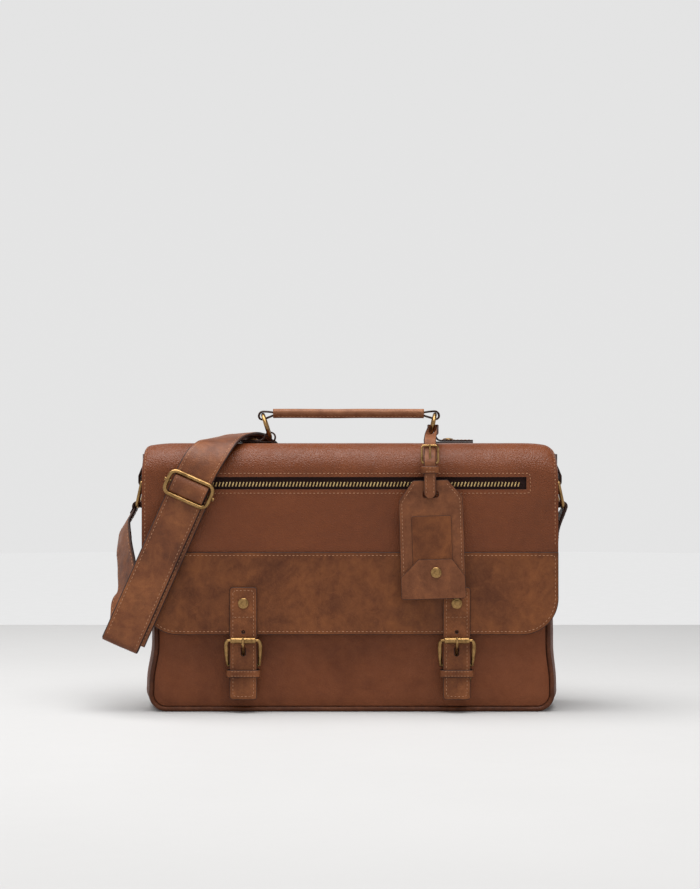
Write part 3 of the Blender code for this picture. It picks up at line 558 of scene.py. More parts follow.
def wire(name, path, radius, mat, closed=False, sides=5):
    """A round wire along a path. radius is one number or one for each point."""
    curve = bpy.data.curves.new(name, "CURVE")
    curve.dimensions = "3D"
    curve.bevel_resolution = sides
    curve.use_fill_caps = True
    radii = radius if isinstance(radius, (list, tuple)) else [radius] * len(path)
    curve.bevel_depth = max(radii) * MM
    spline = curve.splines.new("POLY")
    spline.points.add(len(path) - 1)
    for point, place, r in zip(spline.points, path, radii):
        point.co = (*(Vector(place) * MM), 1.0)
        point.radius = r / max(radii)
    spline.use_cyclic_u = closed
    curve.materials.append(mat)
    obj = bpy.data.objects.new(name, curve)
    scene.collection.objects.link(obj)
    return obj


def tapered_wire(name, keys, steps, mat, closed=False, sides=5):
    """A wire smoothed through keys of (x, y, z, radius)."""
    fine = smooth(keys, steps, closed)
    return wire(name, [p[:3] for p in fine], [p[3] for p in fine], mat, closed, sides)


def turned(name, profile, centre, axis, mat, steps=48, ring=False):
    """A turned piece from a profile of (radius, distance along the axis)."""
    edges = [(k, k + 1) for k in range(len(profile) - 1)] + ([(len(profile) - 1, 0)] if ring else [])
    mesh = bpy.data.meshes.new(name)
    mesh.from_pydata([(r * MM, 0.0, h * MM) for r, h in profile], edges, [])
    mesh.materials.append(mat)
    obj = bpy.data.objects.new(name, mesh)
    scene.collection.objects.link(obj)
    obj.rotation_euler = Vector((0, 0, 1)).rotation_difference(Vector(axis)).to_euler()
    obj.location = Vector(centre) * MM
    mod = obj.modifiers.new("turn", "SCREW")
    mod.steps = mod.render_steps = steps
    mod.use_merge_vertices = True
    mod.merge_threshold = 0.00001
    mod.use_normal_flip = True
    mod.use_smooth_shade = True
    mod = obj.modifiers.new("soften", "BEVEL")
    mod.width = 0.12 * MM
    mod.segments = 2
    mod.limit_method = "ANGLE"
    mod.angle_limit = math.radians(40)
    return obj


STITCH_PITCH = 3.9
STITCH_LONG = 2.3
STITCH_WIDE = 0.6


def points_only(points):
    return [p[:3] for p in points]


def stitches(name, runs, body, wide=STITCH_WIDE, pitch=STITCH_PITCH, closed=False):
    """Thread along runs of (point, normal): one short raised capsule for each stitch."""
    verts, faces = [], []
    sides = 6
    rings = (-1.0, -0.8, -0.35, 0.35, 0.8, 1.0)
    for run in runs:
        points = [tuple(p) + tuple(n) for p, n in run]
        line = even(points_only(points), pitch, closed)
        for k in range(len(line) if closed else len(line) - 1):
            a, b = line[k], line[(k + 1) % len(line)]
            mid = (a + b) / 2
            near = min(points, key=lambda p: (Vector(p[:3]) - mid).length_squared)
            up = Vector(near[3:]).normalized()
            t = (b - a).normalized()
            side = up.cross(t).normalized()
            lean = 0.06 * math.sin(37.0 * k + 3.0)
            t = (t + side * lean).normalized()
            first = len(verts)
            for u in rings:
                fat = wide / 2 * math.sqrt(max(1.0 - abs(u) ** 3, 0.06))
                lift = wide * (0.30 - 0.62 * abs(u) ** 3)
                for q in range(sides):
                    g = 2 * math.pi * q / sides
                    verts.append(mid + t * (u * STITCH_LONG / 2) + side * (fat * math.cos(g))
                                 + up * (lift + 0.8 * fat * math.sin(g)))
            for m in range(len(rings) - 1):
                for q in range(sides):
                    v = (q + 1) % sides
                    faces.append((first + m * sides + q, first + m * sides + v,
                                  first + (m + 1) * sides + v, first + (m + 1) * sides + q))
            faces.append(tuple(first + q for q in range(sides))[::-1])
            faces.append(tuple(first + (len(rings) - 1) * sides + q for q in range(sides)))
    obj = face_out(build(name, verts, faces, [THREAD]))
    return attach(obj, body) if body else obj


def edge_rows(stations, thick, inset, face=1):
    """Stitch rows along both edges of a strap, on its outer (1) or inner (-1) face."""
    left, right = [], []
    for c, w, n, width in directions(stations):
        lift = n * (face * thick / 2)
        left.append((c - w * (width / 2 - inset) + lift, n * face))
        right.append((c + w * (width / 2 - inset) + lift, n * face))
    return [left, right]


def dress(obj, body, slot, *nodes):
    """Rides on its body and stands for its CAD nodes, which it hides. slot is not used."""
    if body:
        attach(obj, body)
    if nodes:
        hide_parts(*nodes)
    return obj


# ---- bag body: two panels, a gusset round the sides and base, and piping ----
BODY_Y = 50.4
PANEL_T = 2.8
FRONT_TOP = 246.0
BACK_TOP = 260.0
PIPE_R = 2.4
PIPE_Y = 48.0
BODY_CORNER = 15.0
GUSSET_Y = 45.0
GUSSET_BULGE = 9.0


def half_width(z, s):
    """The body pinches in a little above its base, more on its left."""
    keys = [(0.0, 197.0), (28.0, 196.0), (66.0, 191.0), (120.0, 192.5), (200.0, 194.0), (262.0, 194.0)]
    if s > 0:
        keys = [(0.0, 200.0), (28.0, 199.5), (66.0, 196.0), (120.0, 196.0), (200.0, 194.0), (262.0, 194.0)]
    for (z0, a), (z1, b) in zip(keys, keys[1:]):
        if z <= z1:
            return a + (b - a) * ease(z, z0, z1)
    return keys[-1][1]


def body_line(top, steps=40):
    """The seam line round the body: down the left side, along the base, up the right."""
    low = PIPE_R + 0.3
    halves = []
    for s in (-1, 1):
        side = []
        for i in range(steps + 1):
            z = top + (low + BODY_CORNER - top) * i / steps
            side.append((s * half_width(z, s), z))
        corner_x = s * (half_width(low + BODY_CORNER, s) - BODY_CORNER)
        turn = arc(0, low + BODY_CORNER, BODY_CORNER, 180, 270, 12)[1:]
        side += [(corner_x - s * x, z) for x, z in turn]
        side += [(corner_x * (1 - k / 24), low) for k in range(1, 25)]
        halves.append(side)
    return halves[0] + halves[1][::-1][1:]


def outward(line):
    """Unit normals of the seam line, pointing out of the bag."""
    out = []
    for i in range(len(line)):
        a, b = line[max(i - 1, 0)], line[min(i + 1, len(line) - 1)]
        span = math.dist(a, b)
        out.append(((b[1] - a[1]) / span, (a[0] - b[0]) / span))
    return out


def offset_line(line, dist):
    return [(x + nx * dist, z + nz * dist) for (x, z), (nx, nz) in zip(line, outward(line))]


def panel(name, top, front):
    """One face of the bag. Its edges turn in to the piping and its middle is a little slack."""
    line = offset_line(body_line(top), -(PIPE_R + 0.1))

    def shape(x, z, rim):
        at_top = ease(z, top - 12.0, top)
        turn = 2.1 * (1 - ease(rim, 0.0, 9.0)) * (1 - at_top)
        slack = 0.7 + 0.7 * wave(x, 0.0, z, 85.0, 4.0 + front) + 0.3 * wave(x, 0.0, z, 30.0, 9.0)
        slack *= ease(rim, 0.0, 20.0)
        return (x, front * (BODY_Y - turn - max(slack, 0.0)), z)

    outline = line if front < 0 else line[::-1]
    obj = layer(name + "_leather", [outline], shape, PANEL_T, [BODY, EDGE, LINING], step=5.0, inner=2)
    if front > 0:
        obj.data.flip_normals()
    return dress(obj, "body", "leather_body", name)


panel("front_panel", FRONT_TOP, -1)
panel("back_panel", BACK_TOP, 1)


def gusset():
    """One strip down both sides and under the base. It swells out at the sides and creases a little."""
    line = body_line(240.0)
    normals = outward(line)
    rows = []
    for k in range(25):
        y = (GUSSET_Y + 1.4) * (k / 12 - 1)
        swell = GUSSET_BULGE * (1 - (y / (GUSSET_Y + 1.4)) ** 2)
        row = []
        for (x, z), (nx, nz) in zip(line, normals):
            out = swell * abs(nx) ** 3 + (PIPE_R + 0.3) * abs(nz) ** 3
            dent = (0.6 + 0.8 * wave(x, y, z, 45.0, 2.0)) * (swell / GUSSET_BULGE) * abs(nx) ** 3
            out -= max(dent, 0.0)
            row.append((x + nx * out, y, z + nz * out))
        rows.append(row)
    obj = grid_sheet("gusset_leather", rows, 2.5, [GUSSET, EDGE, LINING], inner=2)
    return dress(obj, "body", "leather_gusset", "gusset")


gusset()
for side, y, top in (("front", -PIPE_Y, FRONT_TOP), ("back", PIPE_Y, 250.0)):
    path = [(x, y, z) for x, z in body_line(top, 60)]
    thick = [PIPE_R * (1 + 0.05 * wave(*p, 14.0)) for p in path]
    dress(wire("piping_" + side + "_cord", path, thick, PIPING, sides=4), "body", "piping", "piping_" + side)

SNAP_Z = 34.0
SNAP = [(0, 0.0), (8.2, 0.0), (9.2, 0.8), (9.4, 1.6), (9.2, 2.6), (8.7, 3.2), (8.0, 3.1), (7.6, 2.6),
        (4.2, 2.5), (3.9, 3.0), (0, 3.0)]
BUCKLE_X = 104.5
for side, x in (("left", -BUCKLE_X), ("right", BUCKLE_X + 5.5)):
    obj = turned("magnetic_snap_brass_" + side, SNAP, (x, -BODY_Y - 0.3, SNAP_Z), (0, -1, 0), BRASS)
    dress(obj, "body", "antique_brass", "magnetic_snap_" + side)

# ---- flap ----
FLAP_HALF = 204.5
FLAP_TOP = 265.0
FLAP_FACE = -60.3
FLAP_BEND = 30.0
FLAP_T = 2.0
HEM_Z = 77.0
HEM_R = 36.0
OVERLAY_TOP = 158.0
OVERLAY_FACE = -62.3
SLOT_X = 173.0
SLOT_LOW, SLOT_HIGH = 219.6, 231.6
ROOT_Y = 52.7
ROOT_LOW = 214.0
ROOT_BEND = 6.0
DROOP = {-1: (3.0, 7.0, 8.0), 1: (3.5, 12.0, 12.0)}      # sag, radius and drop of the flap's top corners
EDGE_INSET = 3.2          # from an edge to its row of stitches


def droop(x):
    sag, r, drop = DROOP[-1 if x < 0 else 1]
    u = min(1.0, max(0.0, (abs(x) - FLAP_HALF + r) / r))
    return sag * ease(abs(x), 172.0, FLAP_HALF + 4.0) ** 1.6 + drop * (1 - math.sqrt(1 - u * u))


def flap_profile():
    """Side profile of the upper leather as (y, z, normal y, normal z), from the back seam to the front."""
    out = [(ROOT_Y, ROOT_LOW + k * 5.0, 1.0, 0.0) for k in range(9)]
    turn = arc(0, 0, 1.0, 0, 90, 6)
    out += [(ROOT_Y - ROOT_BEND + ROOT_BEND * c, FLAP_TOP - ROOT_BEND + ROOT_BEND * s, c, s) for c, s in turn]
    rear, front = ROOT_Y - ROOT_BEND, FLAP_FACE + FLAP_BEND
    out += [(rear + (front - rear) * k / 16, FLAP_TOP, 0.0, 1.0) for k in range(1, 16)]
    turn = arc(0, 0, 1.0, 90, 180, 16)
    out += [(front + FLAP_BEND * c, FLAP_TOP - FLAP_BEND + FLAP_BEND * s, c, s) for c, s in turn]
    levels = [SLOT_HIGH, (SLOT_HIGH + SLOT_LOW) / 2]
    levels += [SLOT_LOW - 5.0 * k for k in range(13)] + [OVERLAY_TOP - 5.0]
    return out + [(FLAP_FACE, z, -1.0, 0.0) for z in levels]


def flap_place(x, y, z, ny, nz):
    """A point of the upper leather after it has sagged."""
    sink = droop(x) * ease(z, 185.0, 262.0) * ease(-y, -58.0, -40.0)
    slack = 0.35 + 0.5 * wave(x, y, z, 60.0, 1.0) + 0.2 * wave(x, y, z, 24.0, 5.0)
    slack *= ease(FLAP_HALF - abs(x), 0, 25)
    if ny < -0.5:
        slack *= ease(z, 160.0, 176.0) * ease(abs((SLOT_LOW + SLOT_HIGH) / 2 - z), 10.0, 24.0)
        return (x, y - 0.8 * max(slack, 0.0), z - sink)
    return (x, y, z - sink - 0.4 * max(slack, 0.0) * nz * ease(-y, -45.0, -30.0))


def flap_half(y, z):
    """The leather narrows where it is sewn to the back."""
    return FLAP_HALF - 8.0 * ease(y, 38.0, ROOT_Y) if z > 240.0 else FLAP_HALF - 8.0


def flap_columns():
    inner = [SLOT_X * (k / 36 * 2 - 1) for k in range(37)]
    outer = [SLOT_X + 2.0, SLOT_X + 6.0, 184.0, 188.0, 191.5, 194.5, 197.0, 199.0, 200.8, 202.2, 203.4]
    outer.append(FLAP_HALF)
    return [-x for x in outer[::-1]] + inner + outer


def upper_leather():
    profile = flap_profile()
    columns = flap_columns()
    rows = []
    for y, z, ny, nz in profile:
        front = y < 30.0
        share = 1.0 if front else flap_half(y, z) / FLAP_HALF
        rows.append([flap_place(x * share, y, z, ny, nz) for x in columns])

    def keep(i, j):
        y, z = profile[i][:2]
        in_slot = y < -60.0 and SLOT_LOW < z <= SLOT_HIGH
        return not (in_slot and abs(columns[j] + columns[j + 1]) / 2 < SLOT_X)

    obj = grid_sheet("flap_upper_leather", rows, FLAP_T, [UPPER, EDGE, FLESH], keep, inner=2, bevel=0.7)
    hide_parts("flap_upper_panel", "flap_root_strip")
    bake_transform(obj)
    return profile


PROFILE = upper_leather()


def hem_lift(x, z):
    """How far the flap's lower corners stand away from the bag."""
    return 1.3 * ease(abs(x), 140.0, 200.0) * ease(-z, -135.0, -85.0)


def overlay_shape(x, z, rim):
    calm = ease(abs(abs(x) - BUCKLE_X), 14.0, 40.0) * ease(rim, 2.0, 16.0)
    return (x, OVERLAY_FACE - hem_lift(x, z) + 0.45 * calm * wave(x, 0.0, z, 48.0, 6.0), z)


hem = [(-FLAP_HALF, OVERLAY_TOP), (-FLAP_HALF, HEM_Z), (FLAP_HALF, HEM_Z), (FLAP_HALF, OVERLAY_TOP)]
obj = layer("flap_overlay_leather", [rounded(hem, [0.0, HEM_R, HEM_R, 0.0], 20)], overlay_shape, 1.7,
            [OVERLAY, EDGE], bevel=0.7)
dress(obj, "flap", "leather_overlay", "flap_overlay")


def backing():
    """Inner leather of the flap: it closes the zip pocket and meets the overlay at the hem."""
    top, face, r = FLAP_TOP - 3.6, -57.0, 26.0
    path = [(46.0 - 6.5 * k, top) for k in range(12)] + arc(face + r, top - r, r, 90, 180, 14)
    path += [(face, 235.0 - 8.0 * k) for k in range(1, 12)]
    path += [(-58.4, 141.0), (-60.2, 135.0), (-60.2, 124.0), (-60.2, 118.0)]
    low, reach = HEM_Z + 0.8, HEM_R - 0.8
    path += [(-60.2, low + reach * (1 - math.sin(math.radians(90 * k / 14)))) for k in range(15)]
    rows = []
    for y, z in path:
        d = max(0.0, low + reach - z)
        half = FLAP_HALF - 0.8 - reach + math.sqrt(max(reach * reach - d * d, 0.0))
        row = []
        for k in range(49):
            x = half * (k / 24 - 1)
            sink = droop(x) * ease(z, 185.0, 262.0) * ease(-y, -58.0, -40.0)
            row.append((x, y - (hem_lift(x, z) if z < 135.0 else 0.0), z - sink))
        rows.append(row)
    obj = grid_sheet("flap_backing_leather", rows, 1.4, [LINING, EDGE, FLESH], inner=2)
    return dress(obj, "flap", "leather_lining", "flap_backing")


backing()

# the flap's stitching: side edges over the bend, slot, overlay edges and the seam at the back
for side in (-1, 1):
    run = []
    for y, z, ny, nz in PROFILE:
        if y < 44.0 and z > OVERLAY_TOP + 2.0:
            place = flap_place(side * (FLAP_HALF - EDGE_INSET), y, z, ny, nz)
            run.append((place, (0.0, ny, nz)))
    stitches("flap_side_stitches_" + ("left" if side < 0 else "right"), [run], "flap")
TO_FRONT = (0, -1, 0)
ring = split(oblong(-SLOT_X - 4.0, SLOT_X + 4.0, SLOT_LOW - 3.8, SLOT_HIGH + 3.6, 1.0, 2), 6.0)
stitches("slot_stitches", [[((x, FLAP_FACE, z), TO_FRONT) for x, z in ring]], "flap", closed=True)
wide, high, low = FLAP_HALF - EDGE_INSET, OVERLAY_TOP - EDGE_INSET, HEM_Z + EDGE_INSET
inset = [(-wide, high), (-wide, low), (wide, low), (wide, high)]
row = split(rounded(inset, [0.0, HEM_R - EDGE_INSET, HEM_R - EDGE_INSET, 0.0], 20), 6.0)
run = [(overlay_shape(x, z, EDGE_INSET), TO_FRONT) for x, z in row]
stitches("overlay_stitches", [run], "flap", closed=True)
root = [(-192.0, 258.0), (-192.0, ROOT_LOW + EDGE_INSET), (192.0, ROOT_LOW + EDGE_INSET), (192.0, 258.0)]
row = [(x, z) for x, z in split(root, 6.0) if not (z > 257.0 and abs(x) < 191.0)]
start = row.index((-192.0, 258.0))
stitches("root_stitches", [[((x, ROOT_Y, z), (0, 1, 0)) for x, z in row[start:] + row[:start]]], "body")

# ---- zip ----
ZIP_Z = 224.5
TAPE_Y = -58.0
TAPE_HALF = 178.0


def tape_shape(x, z, rim):
    """The tape is thicker along its corded edge, under the teeth."""
    return (x, TAPE_Y - 0.5 * (1 - ease(abs(z - ZIP_Z), 1.8, 3.4)), z)


for side, low, high in (("upper", ZIP_Z + 0.2, 235.0), ("lower", 214.0, ZIP_Z - 0.2)):
    tape = [(-TAPE_HALF, low), (TAPE_HALF, low), (TAPE_HALF, high), (-TAPE_HALF, high)]
    obj = layer("zip_tape_" + side + "_weave", [tape], tape_shape, 0.7, [TAPE, TAPE], step=2.2, bevel=0.1)
    dress(obj, "flap", "zip_tape", "zip_tape_" + side)


def blocks(name, centres, size, soft, lean, mat):
    """Many small softened blocks as one mesh, such as zip teeth. lean tips them over, in degrees."""
    bm = bmesh.new()
    turn = Matrix.Rotation(math.radians(lean), 4, "Y")
    for c in centres:
        place = Matrix.Translation(Vector(c) * MM) @ turn @ Matrix.Diagonal((*[s * MM for s in size], 1.0))
        bmesh.ops.create_cube(bm, size=1.0, matrix=place)
    mesh = bpy.data.meshes.new(name)
    bm.to_mesh(mesh)
    bm.free()
    mesh.materials.append(mat)
    obj = bpy.data.objects.new(name, mesh)
    scene.collection.objects.link(obj)
    mod = obj.modifiers.new("soften", "BEVEL")
    mod.width = soft * MM
    mod.segments = 2
    mod.harden_normals = True
    mesh.polygons.foreach_set("use_smooth", [True] * len(mesh.polygons))
    return obj


TEETH_HALF = 171.0
TEETH_Y = -58.9
TOOTH = 3.3               # from one tooth to the next
teeth = []
for k in range(int(2 * TEETH_HALF / TOOTH)):
    x = -TEETH_HALF + TOOTH * k
    teeth += [(x + 0.35, TEETH_Y, ZIP_Z + 1.1), (x - 0.35, TEETH_Y, ZIP_Z - 1.1)]
obj = blocks("zip_teeth_brass", teeth, (1.35, 1.5, 2.4), 0.3, 18.0, ZIP_BRASS)
dress(obj, "flap", "zip_brass", "zip_teeth")
for node in ("zip_slider", "zip_pull"):
    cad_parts[node].material_slots[0].material = ZIP_BRASS

# ---- buckle straps ----
STRAP_W = 27.0
STRAP_FACE = -65.1
STRAP_LOW, STRAP_TOP = 13.5, 124.0
ROLLER_Y, ROLLER_Z = -68.6, 72.0
BAR_LOW_Y, BAR_LOW_Z = -58.3, 47.0
RIVET_Z = 108.0
KEEPER_Z = 39.2
STRAP_INSET = 3.4
RIVET = [(0, 0.0), (5.1, 0.0), (5.3, 0.35), (5.2, 0.7), (4.7, 1.1), (4.1, 1.25), (3.7, 1.15), (3.4, 1.3),
         (2.2, 1.6), (0, 1.7)]


def buckle_strap(side, x):
    """The outer strap with its hole, its slot for the prong and a worn crease across it."""
    w = STRAP_W / 2
    outline = oblong(x - w, x + w, STRAP_LOW, STRAP_TOP, 3.0, 5)
    hole = [(x + a, 80.0 + b) for a, b in arc(0, 0, 1.25, 0, 360, 16)[:-1]]
    slot = oblong(x - 1.9, x + 1.9, 56.8, 65.0, 1.7, 4)

    def shape(a, b, rim):
        y = STRAP_FACE + 0.35 * (1 - ease(rim, 0.0, 3.0)) + 0.25 * math.exp(-((b - 91.5) / 1.5) ** 2)
        return (a, y + 0.15 * wave(a, 0.0, b, 16.0, x), b)

    obj = layer("buckle_strap_leather_" + side, [outline, hole, slot], shape, 2.4, [STRAP, EDGE], step=2.2,
                bevel=0.7)
    dress(obj, "flap", "leather_strap", "buckle_strap_" + side)
    w -= STRAP_INSET
    ring = oblong(x - w, x + w, STRAP_LOW + STRAP_INSET, STRAP_TOP - STRAP_INSET, 1.0, 3)
    ring = [((a, STRAP_FACE, b), TO_FRONT) for a, b in split(ring, 4.0)]
    across = [((x + a, STRAP_FACE, 94.5), TO_FRONT) for a in (-9.8, 0.0, 9.8)]
    stitches("buckle_strap_stitches_" + side, [ring + ring[:1], across], "flap", 0.5, 3.7)


def buckle_frame(side, x):
    """A wire frame: a bar for the roller, two bowed arms and a bar behind the strap."""
    half = [(0.0, ROLLER_Y, ROLLER_Z), (13.0, ROLLER_Y, ROLLER_Z), (15.4, ROLLER_Y + 0.3, ROLLER_Z - 0.6),
            (16.6, ROLLER_Y + 1.5, ROLLER_Z - 3.5), (16.7, -65.4, 63.5), (16.3, -62.0, 55.0),
            (15.4, BAR_LOW_Y - 1.0, BAR_LOW_Z + 1.4), (14.2, BAR_LOW_Y, BAR_LOW_Z),
            (0.0, BAR_LOW_Y, BAR_LOW_Z)]
    thick = [1.4, 1.4, 1.7, 2.0, 2.05, 1.8, 1.5, 1.4, 1.4]
    keys = [(x + a, y, z, t) for (a, y, z), t in zip(half, thick)]
    keys += [(2 * x - k[0], *k[1:]) for k in keys[1:-1][::-1]]
    obj = tapered_wire("buckle_frame_brass_" + side, keys, 5, BRASS, True, 6)
    dress(obj, "flap", "antique_brass", "buckle_frame_" + side)
    half = [(1.7, -12.0), (2.6, -12.2), (2.95, -11.8), (3.0, -11.2), (3.0, -5.0)]
    tube = half + [(3.02, 0.0)] + [(r, -h) for r, h in half[::-1]]
    obj = turned("roller_brass_" + side, tube, (x, ROLLER_Y, ROLLER_Z), (1, 0, 0), BRASS, 48, True)
    dress(obj, "roller_" + side, "antique_brass", "roller_" + side)
    hook = [(x, BAR_LOW_Y + 2.8 * c, BAR_LOW_Z + 2.8 * s) for c, s in arc(0, 0, 1.0, 80, -180, 20)]
    keys = [(*p, 1.0) for p in hook]
    keys += [(x, -61.2, 51.5, 1.0), (x, -61.3, 56.5, 1.0), (x, -63.6, 60.6, 1.2), (x, -67.4, 63.8, 1.45),
             (x, -71.6, 67.2, 1.5), (x, -73.2, 72.5, 1.35), (x, -72.7, 75.0, 0.9)]
    obj = tapered_wire("prong_brass_" + side, keys, 4, BRASS)
    dress(obj, "flap", "antique_brass", "prong_" + side)


def tongue(side, x):
    """Leather behind the strap, folded round the lower bar, with a window for the prong."""
    fold = [(-59.0, 25.0), (-59.0, 31.0), (-59.0, 38.0), (-60.0, 41.5), (-60.7, 44.5)]
    fold += arc(BAR_LOW_Y, BAR_LOW_Z, 2.5, 180, 0, 14)
    fold += [(-56.3, 44.5), (-56.8, 42.0), (-57.1, 38.0), (-57.1, 28.0), (-57.1, 18.0)]
    columns = (-11.0, -7.0, -2.3, 2.3, 7.0, 11.0)
    rows = [[(x + a, y, z) for a in columns] for y, z in fold]
    obj = grid_sheet("buckle_tongue_leather_" + side, rows, 1.4, [STRAP, EDGE],
                     lambda i, j: not (j == 2 and 2 <= i <= 19), bevel=0.25)
    obj.data.flip_normals()
    obj.modifiers["thickness"].offset = 0.0
    dress(obj, "flap", "leather_strap", "buckle_tongue_" + side)


def keeper(name, x, half, low_y, high_y, z, height, thick, body, slot, node):
    """A sewn leather loop with two rows of thread on its front."""
    loop = split(oblong(x - half, x + half, low_y, high_y, 2.0, 6), 5.0)
    path = [((a, b, z), (0, 0, 1), height) for a, b in loop]
    obj = band(name + "_leather", path, thick, [STRAP, EDGE], crown=0.25, closed=True, across=6)
    dress(obj, body, slot, node)
    rows = [[((x + a, low_y - thick / 2 - 0.2, z + s * (height / 2 - 1.7)), TO_FRONT)
             for a in (-half + 3.0, 0.0, half - 3.0)] for s in (-1, 1)]
    stitches(name + "_stitches", rows, body, 0.42, 3.3)


for side, x in (("left", -BUCKLE_X), ("right", BUCKLE_X)):
    buckle_strap(side, x)
    obj = turned("rivet_brass_" + side, RIVET, (x, STRAP_FACE - 0.3, RIVET_Z), (0, -1, 0), BRASS)
    dress(obj, "flap", "antique_brass", "rivet_" + side)
    buckle_frame(side, x)
    tongue(side, x)
    name = "keeper_" + side
    keeper(name, x, 15.4, -66.1, -55.1, KEEPER_Z, 7.6, 1.5, "flap", "leather_strap", name)

# ---- top handle ----
GRIP_LOW, GRIP_TOP = 290.2, 299.6
GRIP_ENDS = {"left": -77.4, "right": 74.4}
RING_R, RING_WIRE, RING_Z = 12.0, 1.9, 282.3
TAB_LIFT = 0.9            # from the flap's top to the middle of the tab's lower layer
RINGS = {"left": (-84.2, 18.0), "right": (83.3, 12.0)}      # centre x and outward lean, degrees


def grip():
    """A stuffed leather grip, a little fuller in the middle."""
    path = []
    for k in range(61):
        t = k / 60
        x = GRIP_ENDS["left"] + (GRIP_ENDS["right"] - GRIP_ENDS["left"]) * t
        z = (GRIP_LOW + GRIP_TOP) / 2 + 0.12 * wave(x, 0.0, 0.0, 40.0, 3.0)
        path.append(((x, 0.0, z), (0, 1, 0), 25.6 + 0.4 * math.sin(math.pi * t)))
    obj = band("handle_grip_leather", path, GRIP_TOP - GRIP_LOW - 0.5, [HANDLE, HANDLE], crown=0.2,
               corner=0.42, across=14, ripple=0.07)
    for face in obj.data.polygons:
        if len(face.vertices) > 4:
            face.material_index = 2
    obj.data.materials.append(EDGE)
    dress(obj, "handle", "leather_handle", "handle_grip")
    xs = [GRIP_ENDS["left"] + 4.0 + k * 3.0 for k in range(49)]
    seam = [((x, -12.6, GRIP_LOW + 1.5), (0, -0.8, -0.6)) for x in xs]
    stitches("handle_stitches", [seam], "handle", 0.42, 3.8)


grip()
for side, s in (("left", -1), ("right", 1)):
    cx, lean = RINGS[side]
    a = math.radians(lean)
    ring = []
    for k in range(64):
        t = 2 * math.pi * k / 64
        ring.append((cx + s * RING_R * math.cos(t) * math.sin(a), RING_R * math.sin(t),
                     RING_Z + RING_R * math.cos(t) * math.cos(a)))
    obj = wire("ring_brass_" + side, ring, RING_WIRE, BRASS, True, 7)
    dress(obj, "ring_" + side, "antique_brass", "ring_" + side)
    tx, tz = cx + s * RING_R * math.sin(a), RING_Z + RING_R * math.cos(a)
    end = GRIP_ENDS[side]
    turn = [(-2.0, 3.1), (1.0, 2.9), (3.1, 1.5), (4.1, -0.9), (3.6, -3.4), (1.7, -4.8), (-0.7, -4.9),
            (-3.1, -3.7)]
    path = [(end - s * 0.9, 295.6), (end + s * 2.5, 296.4)] + [(tx + s * u, tz + v) for u, v in turn]
    path = smooth(path + [(end + s * 1.6, 292.3), (end - s * 0.9, 293.4)], 4)
    path = even([(px, 0, pz) for px, pz in path], 1.0)
    path = [(p, (0, 1, 0), 11.0) for p in path]
    obj = band("handle_loop_leather_" + side, path, 1.9, [HANDLE, EDGE], across=5)
    dress(obj, "handle", "leather_handle", "handle_loop_" + side)
    # tab on the flap, folded round the bottom of the ring
    bx, bz = cx - s * RING_R * math.sin(a), RING_Z - RING_R * math.cos(a)
    low = FLAP_TOP + TAB_LIFT
    drop = bz - low
    out = 124.0 * s
    path = [(out, low), (bx + s * 2.0, low)]
    path += [(bx - s * drop * q, bz - drop * p) for p, q in arc(0, 0, 1.0, 0, 180, 16)]
    path += [(bx + s * 3.0, bz + drop - 0.4), (bx + s * 8.0, low + 2.4), (bx + s * 11.0, low + 1.7),
             (out, low + 1.7)]
    fine = [(p, (0, 1, 0), 10.5) for p in even([(px, 0, pz) for px, pz in path], 1.2)]
    obj = band("handle_tab_leather_" + side, fine, 1.6, [HANDLE, EDGE], across=5)
    dress(obj, "flap", "leather_handle", "handle_tab_" + side)
    top = low + 1.7 + 0.8
    rows = [[((s * x, y, top), (0, 0, 1)) for x in (92.0, 106.0, 122.0)] for y in (-3.4, 3.4)]
    stitches("handle_tab_stitches_" + side, rows, "flap", 0.45, 3.6)
    obj = turned("tab_rivet_brass_" + side, RIVET, (s * 99.0, 0, top + 0.1), (0, 0, 1), BRASS)
    dress(obj, "flap", "antique_brass", "tab_rivet_" + side)

# ---- side tabs and D rings ----
DRING_X, DRING_Z, DRING_TILT = 208.0, 226.0, 12.0
for side, s in (("left", -1), ("right", 1)):
    loop = [(204.4, 254.0), (204.4, 244.0), (204.4, 235.0)]
    loop += [(DRING_X - 3.6 * c, DRING_Z - 3.6 * q) for c, q in arc(0, 0, 1.0, 0, 180, 14)]
    loop += [(DRING_X + 3.6, DRING_Z + 6.0), (DRING_X + 1.2, DRING_Z + 12.0), (207.0, 243.0), (207.0, 254.0)]
    fine = [((s * x, 0, z), (0, 1, 0), 32.0) for x, z in loop]
    obj = band("side_tab_leather_" + side, fine, 1.8, [GUSSET, EDGE], across=10)
    dress(obj, "body", "leather_side_tab", "side_tab_" + side)
    corners = ((-12.5, 244.0), (-12.5, 251.5), (12.5, 251.5), (12.5, 244.0))
    row = [((s * 207.9, y, z), (s, 0, 0)) for y, z in corners]
    stitches("side_tab_stitches_" + side, [row], "body", 0.5, 3.7, True)
    tilt = math.radians(DRING_TILT)
    flat = split(oblong(-22.0, 22.0, 0.0, -25.0, [2.5, 2.5, 8.0, 8.0], 8), 3.0)
    ring = [(s * (DRING_X - v * math.sin(tilt)), u, DRING_Z + v * math.cos(tilt)) for u, v in flat]
    obj = wire("dring_brass_" + side, ring, 2.0, BRASS, True, 6)
    dress(obj, "dring_" + side, "antique_brass", "dring_" + side)

# ---- luggage tag ----
TAG_X, TAG_TOP, TAG_TILT = 78.2, 228.7, 1.7
TAG_FACE = -72.9


def tag_point(u, up, y):
    """A point on the tag: u across and up from the middle of its top edge."""
    a = math.radians(TAG_TILT)
    return (TAG_X + u * math.cos(a) - up * math.sin(a), y, TAG_TOP + up * math.cos(a) + u * math.sin(a))


